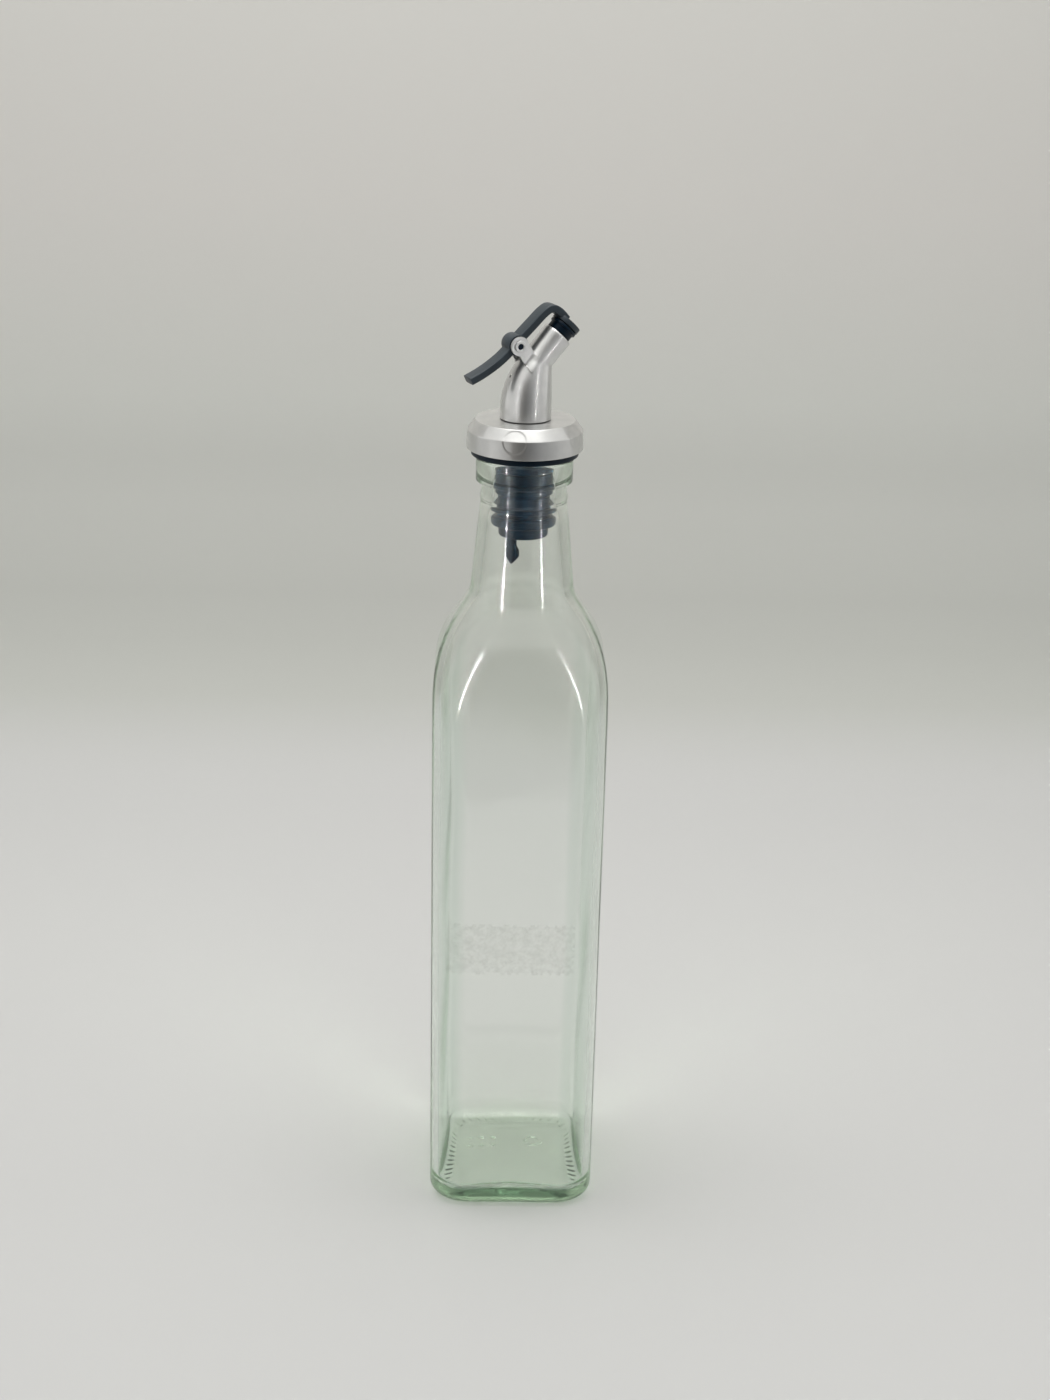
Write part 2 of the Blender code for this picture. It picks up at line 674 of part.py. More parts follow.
def main():
    clear_scene()
    glass = material("green_glass", (0.78, 0.86, 0.78), 0.02, transmission=1.0)
    rubber = material("dark_rubber", (0.018, 0.030, 0.040), 0.45)
    steel = material("brushed_steel", (0.62, 0.62, 0.60), 0.30, metallic=1.0)
    plastic = material("dark_plastic", (0.060, 0.070, 0.080), 0.42)
    make_glass(glass)
    make_stopper(rubber)
    make_air_tail(rubber)
    make_collar(steel)
    make_spout(steel)
    make_ear("ear_near", -1, steel)
    make_ear("ear_far", 1, steel)
    make_pin(steel)
    hang_on_pivot(make_lever(plastic), make_seal(rubber))


main()
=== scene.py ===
"""Square glass oil bottle with a lever pourer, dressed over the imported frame. Metres, +Z up."""

import json
import math

import bmesh
import bpy
from mathutils import Matrix, Vector

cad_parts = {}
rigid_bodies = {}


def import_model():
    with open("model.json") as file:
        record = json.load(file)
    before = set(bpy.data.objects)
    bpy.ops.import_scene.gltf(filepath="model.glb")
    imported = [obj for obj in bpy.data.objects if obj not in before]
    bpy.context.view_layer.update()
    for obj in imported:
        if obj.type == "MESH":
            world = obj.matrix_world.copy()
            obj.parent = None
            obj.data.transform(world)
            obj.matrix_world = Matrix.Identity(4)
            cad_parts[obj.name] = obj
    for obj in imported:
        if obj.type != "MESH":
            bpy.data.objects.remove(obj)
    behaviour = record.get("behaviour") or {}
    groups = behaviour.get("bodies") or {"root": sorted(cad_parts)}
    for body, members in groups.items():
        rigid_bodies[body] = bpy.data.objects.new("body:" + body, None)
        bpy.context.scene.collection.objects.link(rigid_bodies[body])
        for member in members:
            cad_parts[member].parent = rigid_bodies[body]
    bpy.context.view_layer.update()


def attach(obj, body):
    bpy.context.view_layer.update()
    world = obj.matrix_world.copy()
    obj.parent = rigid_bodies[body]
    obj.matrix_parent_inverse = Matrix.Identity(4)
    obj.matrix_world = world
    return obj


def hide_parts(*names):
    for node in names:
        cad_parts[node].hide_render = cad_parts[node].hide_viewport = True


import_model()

# Camera
FOCAL_LENGTH = 2006.0
FRAME_HEIGHT = 1400.0
SENSOR = 36.0
CAMERA_PLACE = (-0.0109, -0.624, 0.427)
CAMERA_PITCH = math.radians(21.45)
CAMERA_YAW = math.radians(1.17)
CAMERA_ROLL = math.radians(1.29)

# Glass
SIDE = 0.0575
HALF = SIDE / 2
CORNER_RADIUS = 0.0125
HEEL_RADIUS = 0.0045
GLASS_HEIGHT = 0.266
WALL = 0.0027
INNER_CORNER_RADIUS = 0.0102
FLOOR = 0.0052
FLOOR_FILLET = 0.006
FLOOR_RISE = 0.0012
CORNER_SAG = 0.0030
BEARING_WIDTH = 0.0025
PUNT_DEPTH = 0.0012
DOME_RADIUS = 0.038
DOME_BASE = 0.1565
DOME_HEIGHT = 0.066
DOME_SPREAD = 0.15
DOME_BLEND = 0.0051
SHOULDER_FOOT = 0.182
SHOULDER_TOP = 0.222
NECK_BLEND = 0.0118
NECK_TOP = 0.256
NECK_RADIUS = 0.01356
NECK_TAPER = 0.098
NECK_WALL = 0.0033
LIP_RADIUS = 0.0156
LIP_FOOT = 0.2576
LIP_ROUND = 0.0014
LIP_EDGE = 0.0006
BORE_RADIUS = 0.010
BORE_FOOT = 0.2525
BORE_FLARE = 0.007
SEAM_HEIGHT = 0.2520
GRIP_DEPTH = 0.0003
GRIP_STEPS = 7
MARK_DEPTH = 0.00032
DOT_RADIUS = 0.0011
RING_RADIUS = 0.0027
RING_HALF_WIDTH = 0.0006
INNER_WAVE = 0.004
FLAT_STEPS = 35
CORNER_STEPS = 28

# Glue film
FILM_SIDES = (-0.0245, 0.0205)
FILM_HEIGHTS = (0.0935, 0.1125)
FILM_CELLS = (60, 26)
FILM_LIFT = 0.00005
FILM_THICKNESS = 0.00002

# Stopper and air tail
GASKET_RADIUS = 0.0172
GASKET_THICKNESS = 0.0019
STOPPER_BOTTOM = 0.2398
PLUG_TOP_RADIUS = 0.0093
PLUG_TOP_FOOT = 0.2545
PLUG_RADIUS = 0.0084
PLUG_TIP_RADIUS = 0.0080
PLUG_TIP_CHAMFER = 0.0005
TIGHT_FIN_RADIUS = 0.0097
FREE_FIN_RADIUS = 0.0103
TIGHT_FINS = ((0.2637, 0.2615), (0.2583, 0.2561))
FREE_FINS = ((0.2508, 0.2483), (0.2470, 0.2435))
FIN_ROUND = 0.0010
STOPPER_HEAD_RADIUS = 0.0150
FLOW_BORE_RADIUS = 0.0032
FLOW_BORE_X = 0.0016
TAIL_X = -0.0037
TAIL_HEAD_SHIFT = 0.0004
TAIL_WIDTH = 0.0034
TAIL_SHANK = 0.0040
TAIL_HEAD_WIDTH = 0.0043
TAIL_HEAD = 0.0032
TAIL_POINT = 0.0026

# Collar
COLLAR_FOOT = 0.2685
COLLAR_RADIUS = 0.0187
COLLAR_EDGE_RADIUS = 0.0185
COLLAR_EDGE = 0.2743
COLLAR_TOP_RADIUS = 0.0159
COLLAR_TOP = 0.2777
COLLAR_SKIN = 0.0021
COLLAR_HOLE_RADIUS = 0.0055
DIMPLE_RADIUS = 0.00385
DIMPLE_COUNT = 5
DIMPLE_DEPTH = 0.00012
DIMPLE_LEAN = math.radians(20.0)
DIMPLE_FIRST = math.radians(-90 - 11.3)

# Spout
POURER_TURN = math.radians(24.0)
SPOUT_RADIUS = 0.0082
SPOUT_WALL = 0.0008
MOUTH_RADIUS = 0.0050
MOUTH_OUT = 0.0104
MOUTH_Z = 0.30375
MOUTH_LEAN = math.radians(43.0)
BEND_START = 0.2805
BEND_RADIUS = 0.025
VENT_RADIUS = 0.00045
VENT_Z = 0.2915

# Ears, pin and lever
PIN_OUT = -0.00415
PIN_Z = 0.3015
PIN_RADIUS = 0.00135
PIN_BORE_RADIUS = 0.00095
PIN_HEAD_RADIUS = 0.0019
PIN_HEAD_THICKNESS = 0.0005
BORE_SHADE_SINK = 0.0002
BORE_SHADE_EDGE = 0.0001
EAR_THICKNESS = 0.0007
EAR_EDGE = 0.00012
EAR_INSIDE = 0.0033
EAR_HEAD_RADIUS = 0.0030
EAR_FOOT_LEAN = math.radians(35.0)
EAR_FOOT_LENGTH = 0.0059
EAR_HEAD_ALONG = 0.0019
EAR_HEAD_UP = 0.0073
EAR_SHOULDER = (0.0027, 0.0018)
LEVER_WIDTH = 0.0056
LEVER_THICKNESS = 0.0024
LEVER_EDGE = 0.0002
LEVER_ROUND = 0.0005
HUB_RADIUS = 0.0033
HUB_WIDTH = 0.0060
CAP_RADIUS = 0.0047
CAP_THICKNESS = 0.0016
CAP_LIFT = 0.0037
LEVER_LINE = (
    (-0.0157, -0.0102),
    (-0.0122, -0.0086),
    (-0.0088, -0.0067),
    (-0.0054, -0.0044),
    (-0.0025, -0.0019),
    (0.0013, 0.0021),
    (0.0053, 0.0059),
    (0.0093, 0.0096),
    (0.0118, 0.0108),
    (0.0143, 0.0097),
    (0.0167, 0.0072),
)

# Seal
SEAL_FLANGE_RADIUS = 0.0046
SEAL_BODY_RADIUS = 0.0041
SEAL_PLUG_RADIUS = 0.0034
SEAL_PLUG_TIP = 0.0015
SEAL_STEP = 0.0024
SEAL_PLUG_DEPTH = 0.0016

GAP = 0.0003
ROUND_STEPS = 96

# Where shade is painted into the glass: towards its corners, and on its front face up from its foot
CORNER_PAINTED_SHADE = (0.0190, 0.0230)
PAINTED_SHADE_FRONT = (-0.0272, -0.0280)
PAINTED_SHADE_REACH = 0.012

# The light tent's brightness by degrees from the front, with its dark opening
TENT = (
    (-100.0, (0.92, 0.915, 0.89)),
    (-50.0, (0.62, 0.615, 0.60)),
    (-30.0, (0.50, 0.49, 0.47)),
    (-25.0, (0.070, 0.060, 0.050)),
    (-4.0, (0.060, 0.058, 0.055)),
    (3.0, (0.11, 0.11, 0.11)),
    (30.0, (0.30, 0.30, 0.30)),
    (60.0, (0.45, 0.45, 0.44)),
    (100.0, (0.92, 0.915, 0.89)),
)
TENT_ROOF = (0.86, 0.855, 0.83, 1.0)
ROOF_RISE = (0.45, 0.75)

# The floor and wall, the lamps and the narrow strips
STAGE_FRONT = -0.38
STAGE_BACK = 0.33
STAGE_TURN = 0.14
STAGE_HEIGHT = 1.4
STAGE_WIDTH = 3.2
LAMP_COLOUR = (1.0, 0.99, 0.97)
TOP_POWER = 3.7
WALL_POWER = 1.0
STRIP_SIZE = (0.002, 0.50)
STRIP_DISTANCE = 0.5
STRIP_MIDDLE = 0.37
STRIP_LAMPS = 250.0
STRIPS = (("left", -42.0), ("right", 44.0))
GLASS_STRIP = 600.0
STEEL_STRIP = 60.0

POURER_OUT = Vector((math.cos(POURER_TURN), math.sin(POURER_TURN), 0.0))
POURER_SIDE = Vector((-math.sin(POURER_TURN), math.cos(POURER_TURN), 0.0))
UP = Vector((0.0, 0.0, 1.0))


# Camera

def add_camera():
    """Sets the camera in front of the bottle and a little above it, looking down."""
    flat = math.cos(CAMERA_PITCH)
    ahead = Vector((math.sin(CAMERA_YAW) * flat, math.cos(CAMERA_YAW) * flat, -math.sin(CAMERA_PITCH)))
    right = Vector((math.cos(CAMERA_YAW), -math.sin(CAMERA_YAW), 0.0))
    up = right.cross(ahead)
    across = math.cos(CAMERA_ROLL) * right + math.sin(CAMERA_ROLL) * up
    upward = -math.sin(CAMERA_ROLL) * right + math.cos(CAMERA_ROLL) * up
    data = bpy.data.cameras.new("camera")
    data.sensor_width = SENSOR
    data.lens = SENSOR * FOCAL_LENGTH / FRAME_HEIGHT
    data.clip_start = 0.01
    data.clip_end = 20.0
    camera = bpy.data.objects.new("camera", data)
    camera.matrix_world = Matrix((across, upward, -ahead)).transposed().to_4x4()
    camera.matrix_world.translation = Vector(CAMERA_PLACE)
    bpy.context.scene.collection.objects.link(camera)
    bpy.context.scene.camera = camera


# Materials

def new_material(name):
    material = bpy.data.materials.new(name)
    material.use_nodes = True
    nodes = material.node_tree.nodes
    return material, nodes, material.node_tree.links, nodes["Principled BSDF"]


def add_node(nodes, kind, **values):
    return set_values(nodes.new(kind), **values)


def set_values(node, **values):
    """Sets the socket that a value is named after, and else the node's property of that name."""
    for name, value in values.items():
        title = name.replace("_", " ")
        if title in node.inputs:
            node.inputs[title].default_value = value
        else:
            setattr(node, name, value)
    return node


def add_math(nodes, links, operation, source, value=None):
    """A sum on one socket, with a fixed second number where one is given."""
    node = add_node(nodes, "ShaderNodeMath", operation=operation)
    links.new(source, node.inputs[0])
    if value is not None:
        node.inputs[1].default_value = value
    return node.outputs["Value"]


def ramp(nodes, stops):
    node = nodes.new("ShaderNodeValToRGB")
    elements = node.color_ramp.elements
    while len(elements) < len(stops):
        elements.new(0.5)
    for element, (place, colour) in zip(elements, stops):
        element.position = place
        element.color = (*colour, 1.0)
    return node


def set_bump(nodes, links, shader, height, strength, distance):
    bump = add_node(nodes, "ShaderNodeBump", Strength=strength, Distance=distance)
    links.new(height, bump.inputs["Height"])
    links.new(bump.outputs["Normal"], shader.inputs["Normal"])


def green_glass():
    """Clear glass: greener with depth, with painted shade low on its front face and towards its corners, and
    light in its own shadow.
    """
    material, nodes, links, shader = new_material("green_glass")
    set_values(shader, Transmission_Weight=1.0, IOR=1.52, Roughness=0.05)
    depth_tint = (0.31, 0.60, 0.29, 1.0)
    absorption = add_node(nodes, "ShaderNodeVolumeAbsorption", Color=depth_tint, Density=20.0)
    links.new(absorption.outputs["Volume"], nodes["Material Output"].inputs["Volume"])
    place = nodes.new("ShaderNodeTexCoord")
    waves = add_node(nodes, "ShaderNodeTexNoise", Scale=45.0, Detail=2.0)
    links.new(place.outputs["Object"], waves.inputs["Vector"])
    set_bump(nodes, links, shader, waves.outputs["Fac"], 0.02, 0.0004)
    parts = nodes.new("ShaderNodeSeparateXYZ")
    links.new(place.outputs["Object"], parts.inputs["Vector"])
    near = add_node(nodes, "ShaderNodeMath", operation="MINIMUM")
    for axis, socket in zip(("X", "Y"), near.inputs):
        links.new(add_math(nodes, links, "ABSOLUTE", parts.outputs[axis]), socket)
    corner = add_node(nodes, "ShaderNodeMapRange", From_Min=CORNER_PAINTED_SHADE[0], From_Max=CORNER_PAINTED_SHADE[1])
    links.new(near.outputs["Value"], corner.inputs["Value"])
    front = add_node(nodes, "ShaderNodeMapRange", From_Min=PAINTED_SHADE_FRONT[0], From_Max=PAINTED_SHADE_FRONT[1])
    links.new(parts.outputs["Y"], front.inputs["Value"])
    height = add_node(nodes, "ShaderNodeMapRange", From_Min=0.0, From_Max=PAINTED_SHADE_REACH)
    links.new(parts.outputs["Z"], height.inputs["Value"])
    # Painted shade: a dark green band low on the front face alone, standing in for the dark surroundings that
    # the thick foot refracts
    deep = (0.15, 0.21, 0.175)
    white = (1.0, 1.0, 1.0)
    painted_heel_shade = ramp(nodes, [(0.33, white), (0.39, deep), (0.66, deep), (0.76, white)])
    links.new(height.outputs["Result"], painted_heel_shade.inputs["Fac"])
    face = add_node(nodes, "ShaderNodeMixRGB", Color1=(1.0, 1.0, 1.0, 1.0))
    links.new(front.outputs["Result"], face.inputs["Fac"])
    links.new(painted_heel_shade.outputs["Color"], face.inputs["Color2"])
    # Painted shade: a grey-green tint towards the corners, standing in for the darker bands that the edges
    # refract
    painted_shade_mix = add_node(nodes, "ShaderNodeMixRGB", Color2=(0.90, 0.94, 0.92, 1.0))
    links.new(corner.outputs["Result"], painted_shade_mix.inputs["Fac"])
    links.new(face.outputs["Color"], painted_shade_mix.inputs["Color1"])
    links.new(painted_shade_mix.outputs["Color"], shader.inputs["Base Color"])
    paths = nodes.new("ShaderNodeLightPath")
    clear = add_node(nodes, "ShaderNodeBsdfTransparent", Color=(0.655, 0.67, 0.635, 1.0))
    mix = nodes.new("ShaderNodeMixShader")
    links.new(paths.outputs["Is Shadow Ray"], mix.inputs["Fac"])
    links.new(shader.outputs["BSDF"], mix.inputs[1])
    links.new(clear.outputs["BSDF"], mix.inputs[2])
    links.new(mix.outputs["Shader"], nodes["Material Output"].inputs["Surface"])
    return material


def matt(name, cloud, dark, light, shine, grain, strength):
    """A matt material over a fine grain, whose tone and shine drift a little in clouds."""
    material, nodes, links, shader = new_material(name)
    place = nodes.new("ShaderNodeTexCoord")
    drift = add_node(nodes, "ShaderNodeTexNoise", Scale=cloud[0], Detail=cloud[1])
    links.new(place.outputs["Object"], drift.inputs["Vector"])
    tone = ramp(nodes, [(0.35, dark), (0.70, light)])
    links.new(drift.outputs["Fac"], tone.inputs["Fac"])
    links.new(tone.outputs["Color"], shader.inputs["Base Color"])
    gloss = add_node(nodes, "ShaderNodeMapRange", To_Min=shine[0], To_Max=shine[1])
    links.new(drift.outputs["Fac"], gloss.inputs["Value"])
    links.new(gloss.outputs["Result"], shader.inputs["Roughness"])
    specks = add_node(nodes, "ShaderNodeTexNoise", Scale=grain, Detail=2.0)
    links.new(place.outputs["Object"], specks.inputs["Vector"])
    set_bump(nodes, links, shader, specks.outputs["Fac"], strength, 0.0001)
    return material, shader


def black_rubber():
    dark, light = (0.0006, 0.0090, 0.0200), (0.0016, 0.0130, 0.0290)
    material, shader = matt("black_rubber", (140.0, 4.0), dark, light, (0.30, 0.46), 2600.0, 0.12)
    shader.inputs["Specular IOR Level"].default_value = 0.20
    return material


def grey_plastic():
    dark, light = (0.022, 0.034, 0.045), (0.034, 0.049, 0.062)
    return matt("grey_plastic", (220.0, 5.0), dark, light, (0.36, 0.50), 3500.0, 0.15)[0]


def brushed_steel(name, around):
    """Steel with fine brushing: round the Z axis where around is true, else up the piece."""
    material, nodes, links, shader = new_material(name)
    set_values(shader, Metallic=1.0, Coat_Weight=1.0, Coat_IOR=2.2, Coat_Roughness=0.03)
    place = nodes.new("ShaderNodeTexCoord")
    if around:
        parts = nodes.new("ShaderNodeSeparateXYZ")
        links.new(place.outputs["Object"], parts.inputs["Vector"])
        flat = nodes.new("ShaderNodeCombineXYZ")
        links.new(parts.outputs["X"], flat.inputs["X"])
        links.new(parts.outputs["Y"], flat.inputs["Y"])
        reach = add_node(nodes, "ShaderNodeVectorMath", operation="LENGTH")
        links.new(flat.outputs["Vector"], reach.inputs[0])
        angle = add_node(nodes, "ShaderNodeMath", operation="ARCTAN2")
        links.new(parts.outputs["Y"], angle.inputs[0])
        links.new(parts.outputs["X"], angle.inputs[1])
        short = add_math(nodes, links, "MULTIPLY", angle.outputs["Value"], 0.0004)
        lines = nodes.new("ShaderNodeCombineXYZ")
        links.new(reach.outputs["Value"], lines.inputs["X"])
        links.new(parts.outputs["Z"], lines.inputs["Y"])
        links.new(short, lines.inputs["Z"])
        vector = lines.outputs["Vector"]
    else:
        stretch = add_node(nodes, "ShaderNodeMapping", Scale=(1.0, 1.0, 0.06))
        links.new(place.outputs["Object"], stretch.inputs["Vector"])
        vector = stretch.outputs["Vector"]
    brush = add_node(nodes, "ShaderNodeTexNoise", Scale=5200.0, Detail=3.0)
    links.new(vector, brush.inputs["Vector"])
    cloud = add_node(nodes, "ShaderNodeTexNoise", Scale=180.0, Detail=3.0)
    links.new(place.outputs["Object"], cloud.inputs["Vector"])
    tone = ramp(nodes, [(0.30, (0.60, 0.605, 0.60)), (0.75, (0.72, 0.72, 0.71))])
    links.new(cloud.outputs["Fac"], tone.inputs["Fac"])
    links.new(tone.outputs["Color"], shader.inputs["Base Color"])
    shine = add_node(nodes, "ShaderNodeMapRange", To_Min=0.34, To_Max=0.44)
    links.new(brush.outputs["Fac"], shine.inputs["Value"])
    links.new(shine.outputs["Result"], shader.inputs["Roughness"])
    set_bump(nodes, links, shader, brush.outputs["Fac"], 0.06, 0.00004)
    return material


def glue_film():
    """A thin cloudy film, broken into flecks."""
    material, nodes, links, shader = new_material("glue_film")
    set_values(shader, Base_Color=(0.48, 0.50, 0.44, 1.0), Roughness=0.6)
    place = nodes.new("ShaderNodeTexCoord")
    fleck = add_node(nodes, "ShaderNodeTexNoise", Scale=420.0, Detail=8.0, Roughness=0.7)
    links.new(place.outputs["Object"], fleck.inputs["Vector"])
    cover = add_node(nodes, "ShaderNodeMapRange", From_Min=0.42, From_Max=0.70, To_Min=0.015, To_Max=0.12)
    links.new(fleck.outputs["Fac"], cover.inputs["Value"])
    links.new(cover.outputs["Result"], shader.inputs["Alpha"])
    return material


def stage_painted_light_and_shade():
    """A seamless sheet: pale on the floor, with painted shade a little greyer where it turns up, and painted
    light paler again above.
    """
    material, nodes, links, shader = new_material("stage_painted_light_and_shade")
    set_values(shader, Roughness=0.9, Specular_IOR_Level=0.1)
    place = nodes.new("ShaderNodeTexCoord")
    parts = nodes.new("ShaderNodeSeparateXYZ")
    links.new(place.outputs["Object"], parts.inputs["Vector"])
    height = add_node(nodes, "ShaderNodeMapRange", From_Min=0.0, From_Max=0.45)
    links.new(parts.outputs["Z"], height.inputs["Value"])
    # Painted light and shade up the sheet: darker where it turns up, lighter towards the top
    wall = ramp(
        nodes,
        [
            (0.00, (0.641, 0.643, 0.642)),
            (0.05, (0.571, 0.580, 0.553)),
            (0.10, (0.550, 0.559, 0.531)),
            (0.15, (0.552, 0.560, 0.533)),
            (0.26, (0.660, 0.667, 0.638)),
            (0.39, (0.725, 0.734, 0.702)),
            (0.63, (0.772, 0.759, 0.732)),
            (0.83, (0.780, 0.772, 0.742)),
        ],
    )
    links.new(height.outputs["Result"], wall.inputs["Fac"])
    links.new(wall.outputs["Color"], shader.inputs["Base Color"])
    return material


# Shapes

def new_piece(name, bm, material, body, nodes=(), angle=40.0):
    """Makes a bmesh into a piece that rides on a body and stands for CAD nodes."""
    bmesh.ops.remove_doubles(bm, verts=bm.verts, dist=1e-7)
    bmesh.ops.recalc_face_normals(bm, faces=bm.faces)
    mesh = bpy.data.meshes.new(name)
    bm.to_mesh(mesh)
    bm.free()
    mesh.shade_smooth()
    mesh.set_sharp_from_angle(angle=math.radians(angle))
    mesh.materials.append(material)
    piece = bpy.data.objects.new(name, mesh)
    bpy.context.scene.collection.objects.link(piece)
    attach(piece, body)
    if nodes:
        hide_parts(*nodes)
    return piece


def apply_modifiers(piece):
    bpy.context.view_layer.update()
    graph = bpy.context.evaluated_depsgraph_get()
    mesh = bpy.data.meshes.new_from_object(piece.evaluated_get(graph))
    piece.modifiers.clear()
    piece.data = mesh
    mesh.shade_smooth()
    mesh.set_sharp_from_angle(angle=math.radians(40))


def combine(piece, tool_bm, operation):
    """Cuts a closed shape from a piece, or joins it to the piece."""
    mesh = bpy.data.meshes.new("tool")
    bmesh.ops.recalc_face_normals(tool_bm, faces=tool_bm.faces)
    tool_bm.to_mesh(mesh)
    tool_bm.free()
    tool = bpy.data.objects.new("tool", mesh)
    bpy.context.scene.collection.objects.link(tool)
    modifier = piece.modifiers.new("join", "BOOLEAN")
    modifier.operation = operation
    modifier.object = tool
    apply_modifiers(piece)
    bpy.data.objects.remove(tool, do_unlink=True)


def round_edges(piece, width):
    modifier = piece.modifiers.new("edges", "BEVEL")
    modifier.width = width
    modifier.segments = 2
    modifier.limit_method = "ANGLE"
    modifier.angle_limit = math.radians(50)
    modifier.use_clamp_overlap = True
    modifier.harden_normals = False
    apply_modifiers(piece)


def skinned(rings, closed=False):
    """Extrudes a ring of edges from each ring of points to the next. Open ends are filled."""
    bm = bmesh.new()
    current = [bm.verts.new(point) for point in rings[0]]
    edges = [bm.edges.new(pair) for pair in zip(current, current[1:] + current[:1])]
    ends = edges
    for ring in rings[1:] + (rings[:1] if closed else []):
        grown = bmesh.ops.extrude_edge_only(bm, edges=edges)["geom"]
        fresh = {item for item in grown if isinstance(item, bmesh.types.BMVert)}
        ahead = []
        for vert, point in zip(current, ring):
            others = [edge.other_vert(vert) for edge in vert.link_edges]
            twin = next(other for other in others if other in fresh)
            twin.co = point
            ahead.append(twin)
        current = ahead
        edges = [item for item in grown if isinstance(item, bmesh.types.BMEdge)]
        edges = [edge for edge in edges if set(edge.verts) <= fresh]
    if not closed:
        bmesh.ops.edgeloop_fill(bm, edges=ends)
        bmesh.ops.edgeloop_fill(bm, edges=edges)
    return bm


def turned(profile, steps=ROUND_STEPS):
    """Spins a closed profile of (radius, z) points about the Z axis."""
    bm = bmesh.new()
    verts = [bm.verts.new((radius, 0.0, z)) for radius, z in profile]
    edges = [bm.edges.new(pair) for pair in zip(verts, verts[1:] + verts[:1])]
    axis_edges = [edge for edge in edges if all(vert.co.x == 0 for vert in edge.verts)]
    bmesh.ops.delete(bm, geom=axis_edges, context="EDGES_FACES")
    geom = bm.verts[:] + bm.edges[:]
    bmesh.ops.spin(bm, geom=geom, axis=UP, cent=(0, 0, 0), angle=2 * math.pi, steps=steps, use_merge=True)
    return bm


def rounded(profile, radius, steps=4, sharp=()):
    """A closed profile with its corners rounded, apart from those on the axis and those listed."""
    made = []
    for index, (x, z) in enumerate(profile):
        before = Vector(profile[index - 1])
        here = Vector((x, z))
        after = Vector(profile[(index + 1) % len(profile)])
        back = before - here
        ahead = after - here
        if x == 0 or index in sharp or back.length < 1e-6 or ahead.length < 1e-6:
            made.append((x, z))
            continue
        reach = min(radius, back.length * 0.48, ahead.length * 0.48)
        start = here + back.normalized() * reach
        end = here + ahead.normalized() * reach
        for step in range(steps + 1):
            t = step / steps
            point = start * (1 - t) ** 2 + here * 2 * t * (1 - t) + end * t**2
            made.append((point.x, point.y))
    return made


def cylinder(radius, length, steps, matrix):
    """A closed cylinder along the matrix's Z, centred on its origin."""
    bm = bmesh.new()
    bmesh.ops.create_cone(
        bm, cap_ends=True, segments=steps, radius1=radius, radius2=radius, depth=length, matrix=matrix
    )
    return bm


def levels(low, high, count):
    return [low + (high - low) * step / count for step in range(count + 1)]


def smooth_min(a, b, width):
    share = min(max(0.5 + 0.5 * (b - a) / width, 0.0), 1.0)
    return b * (1 - share) + a * share - width * share * (1 - share)


def smooth_max(a, b, width):
    return -smooth_min(-a, -b, width)


# Glass

def section_angles():
    """Angles round the square section, an equal step apart along the band it stands on."""
    flat = math.atan2(HALF - CORNER_RADIUS, HALF)
    straight = [math.atan2((HALF - CORNER_RADIUS) * step / FLAT_STEPS, HALF) for step in range(FLAT_STEPS)]
    quarter = list(straight)
    quarter += [flat + (math.pi / 2 - 2 * flat) * step / CORNER_STEPS for step in range(CORNER_STEPS + 1)]
    quarter += [math.pi / 2 - angle for angle in reversed(straight[1:])]
    return [angle + turn * math.pi / 2 for turn in range(4) for angle in quarter]


ANGLES = section_angles()


def square_radius(angle, half, corner):
    """Distance from the centre to a square of rounded corners, at an angle."""
    cosine = abs(math.cos(angle))
    sine = abs(math.sin(angle))
    large = max(cosine, sine)
    small = min(cosine, sine)
    if half / large * small <= half - corner:
        return half / large
    centre = (half - corner) * (cosine + sine)
    return centre + math.sqrt(max(centre**2 - 2 * (half - corner) ** 2 + corner**2, 0.0))


def square_ring(z, half, corner):
    radii = [(angle, square_radius(angle, half, corner)) for angle in ANGLES]
    return [Vector((r * math.cos(angle), r * math.sin(angle), z)) for angle, r in radii]


def dome_radius(z, shrink, neck):
    """Radius of the dome and the neck above it, both drawn in by a wall."""
    rise = min(max((z - DOME_BASE) / (DOME_HEIGHT - shrink), 0.0), 1.0)
    dome = (DOME_RADIUS - shrink) * math.sqrt(1 - rise**2)
    dome += max(DOME_BASE - z, 0.0) * DOME_SPREAD
    return smooth_max(neck, dome, NECK_BLEND)


def body_ring(z, half, corner, shrink, neck):
    """The square section, which shrinks under the dome as its corners turn round."""
    reach = smooth_min(half, dome_radius(z, shrink, neck), DOME_BLEND)
    share = min(max((z - SHOULDER_FOOT) / (SHOULDER_TOP - SHOULDER_FOOT), 0.0), 1.0) ** 1.3
    return square_ring(z, reach, corner + (reach - corner) * share)


def outer_neck(z):
    return NECK_RADIUS + (NECK_TOP - z) * NECK_TAPER


def inner_neck(z):
    """The bore: straight in the lip, then flaring to leave an even neck wall."""
    wide = outer_neck(z) - NECK_WALL
    share = min(max((BORE_FOOT - z) / BORE_FLARE, 0.0), 1.0)
    share = share * share * (3 - 2 * share)
    return BORE_RADIUS + (wide - BORE_RADIUS) * share


def base_mark(x, y):
    """Height of the plain dots and the plain ring that stand out under the base, from 0 to 1."""
    height = 0.0
    for column in range(3):
        for row in range(2):
            reach = math.hypot(x + 0.0145 - column * 0.0042, y - 0.0055 - row * 0.0055)
            height = max(height, 1.0 - (reach / DOT_RADIUS) ** 2)
    ring = abs(math.hypot(x - 0.0085, y - 0.0085) - RING_RADIUS)
    return max(height, 1.0 - (ring / RING_HALF_WIDTH) ** 2, 0.0)


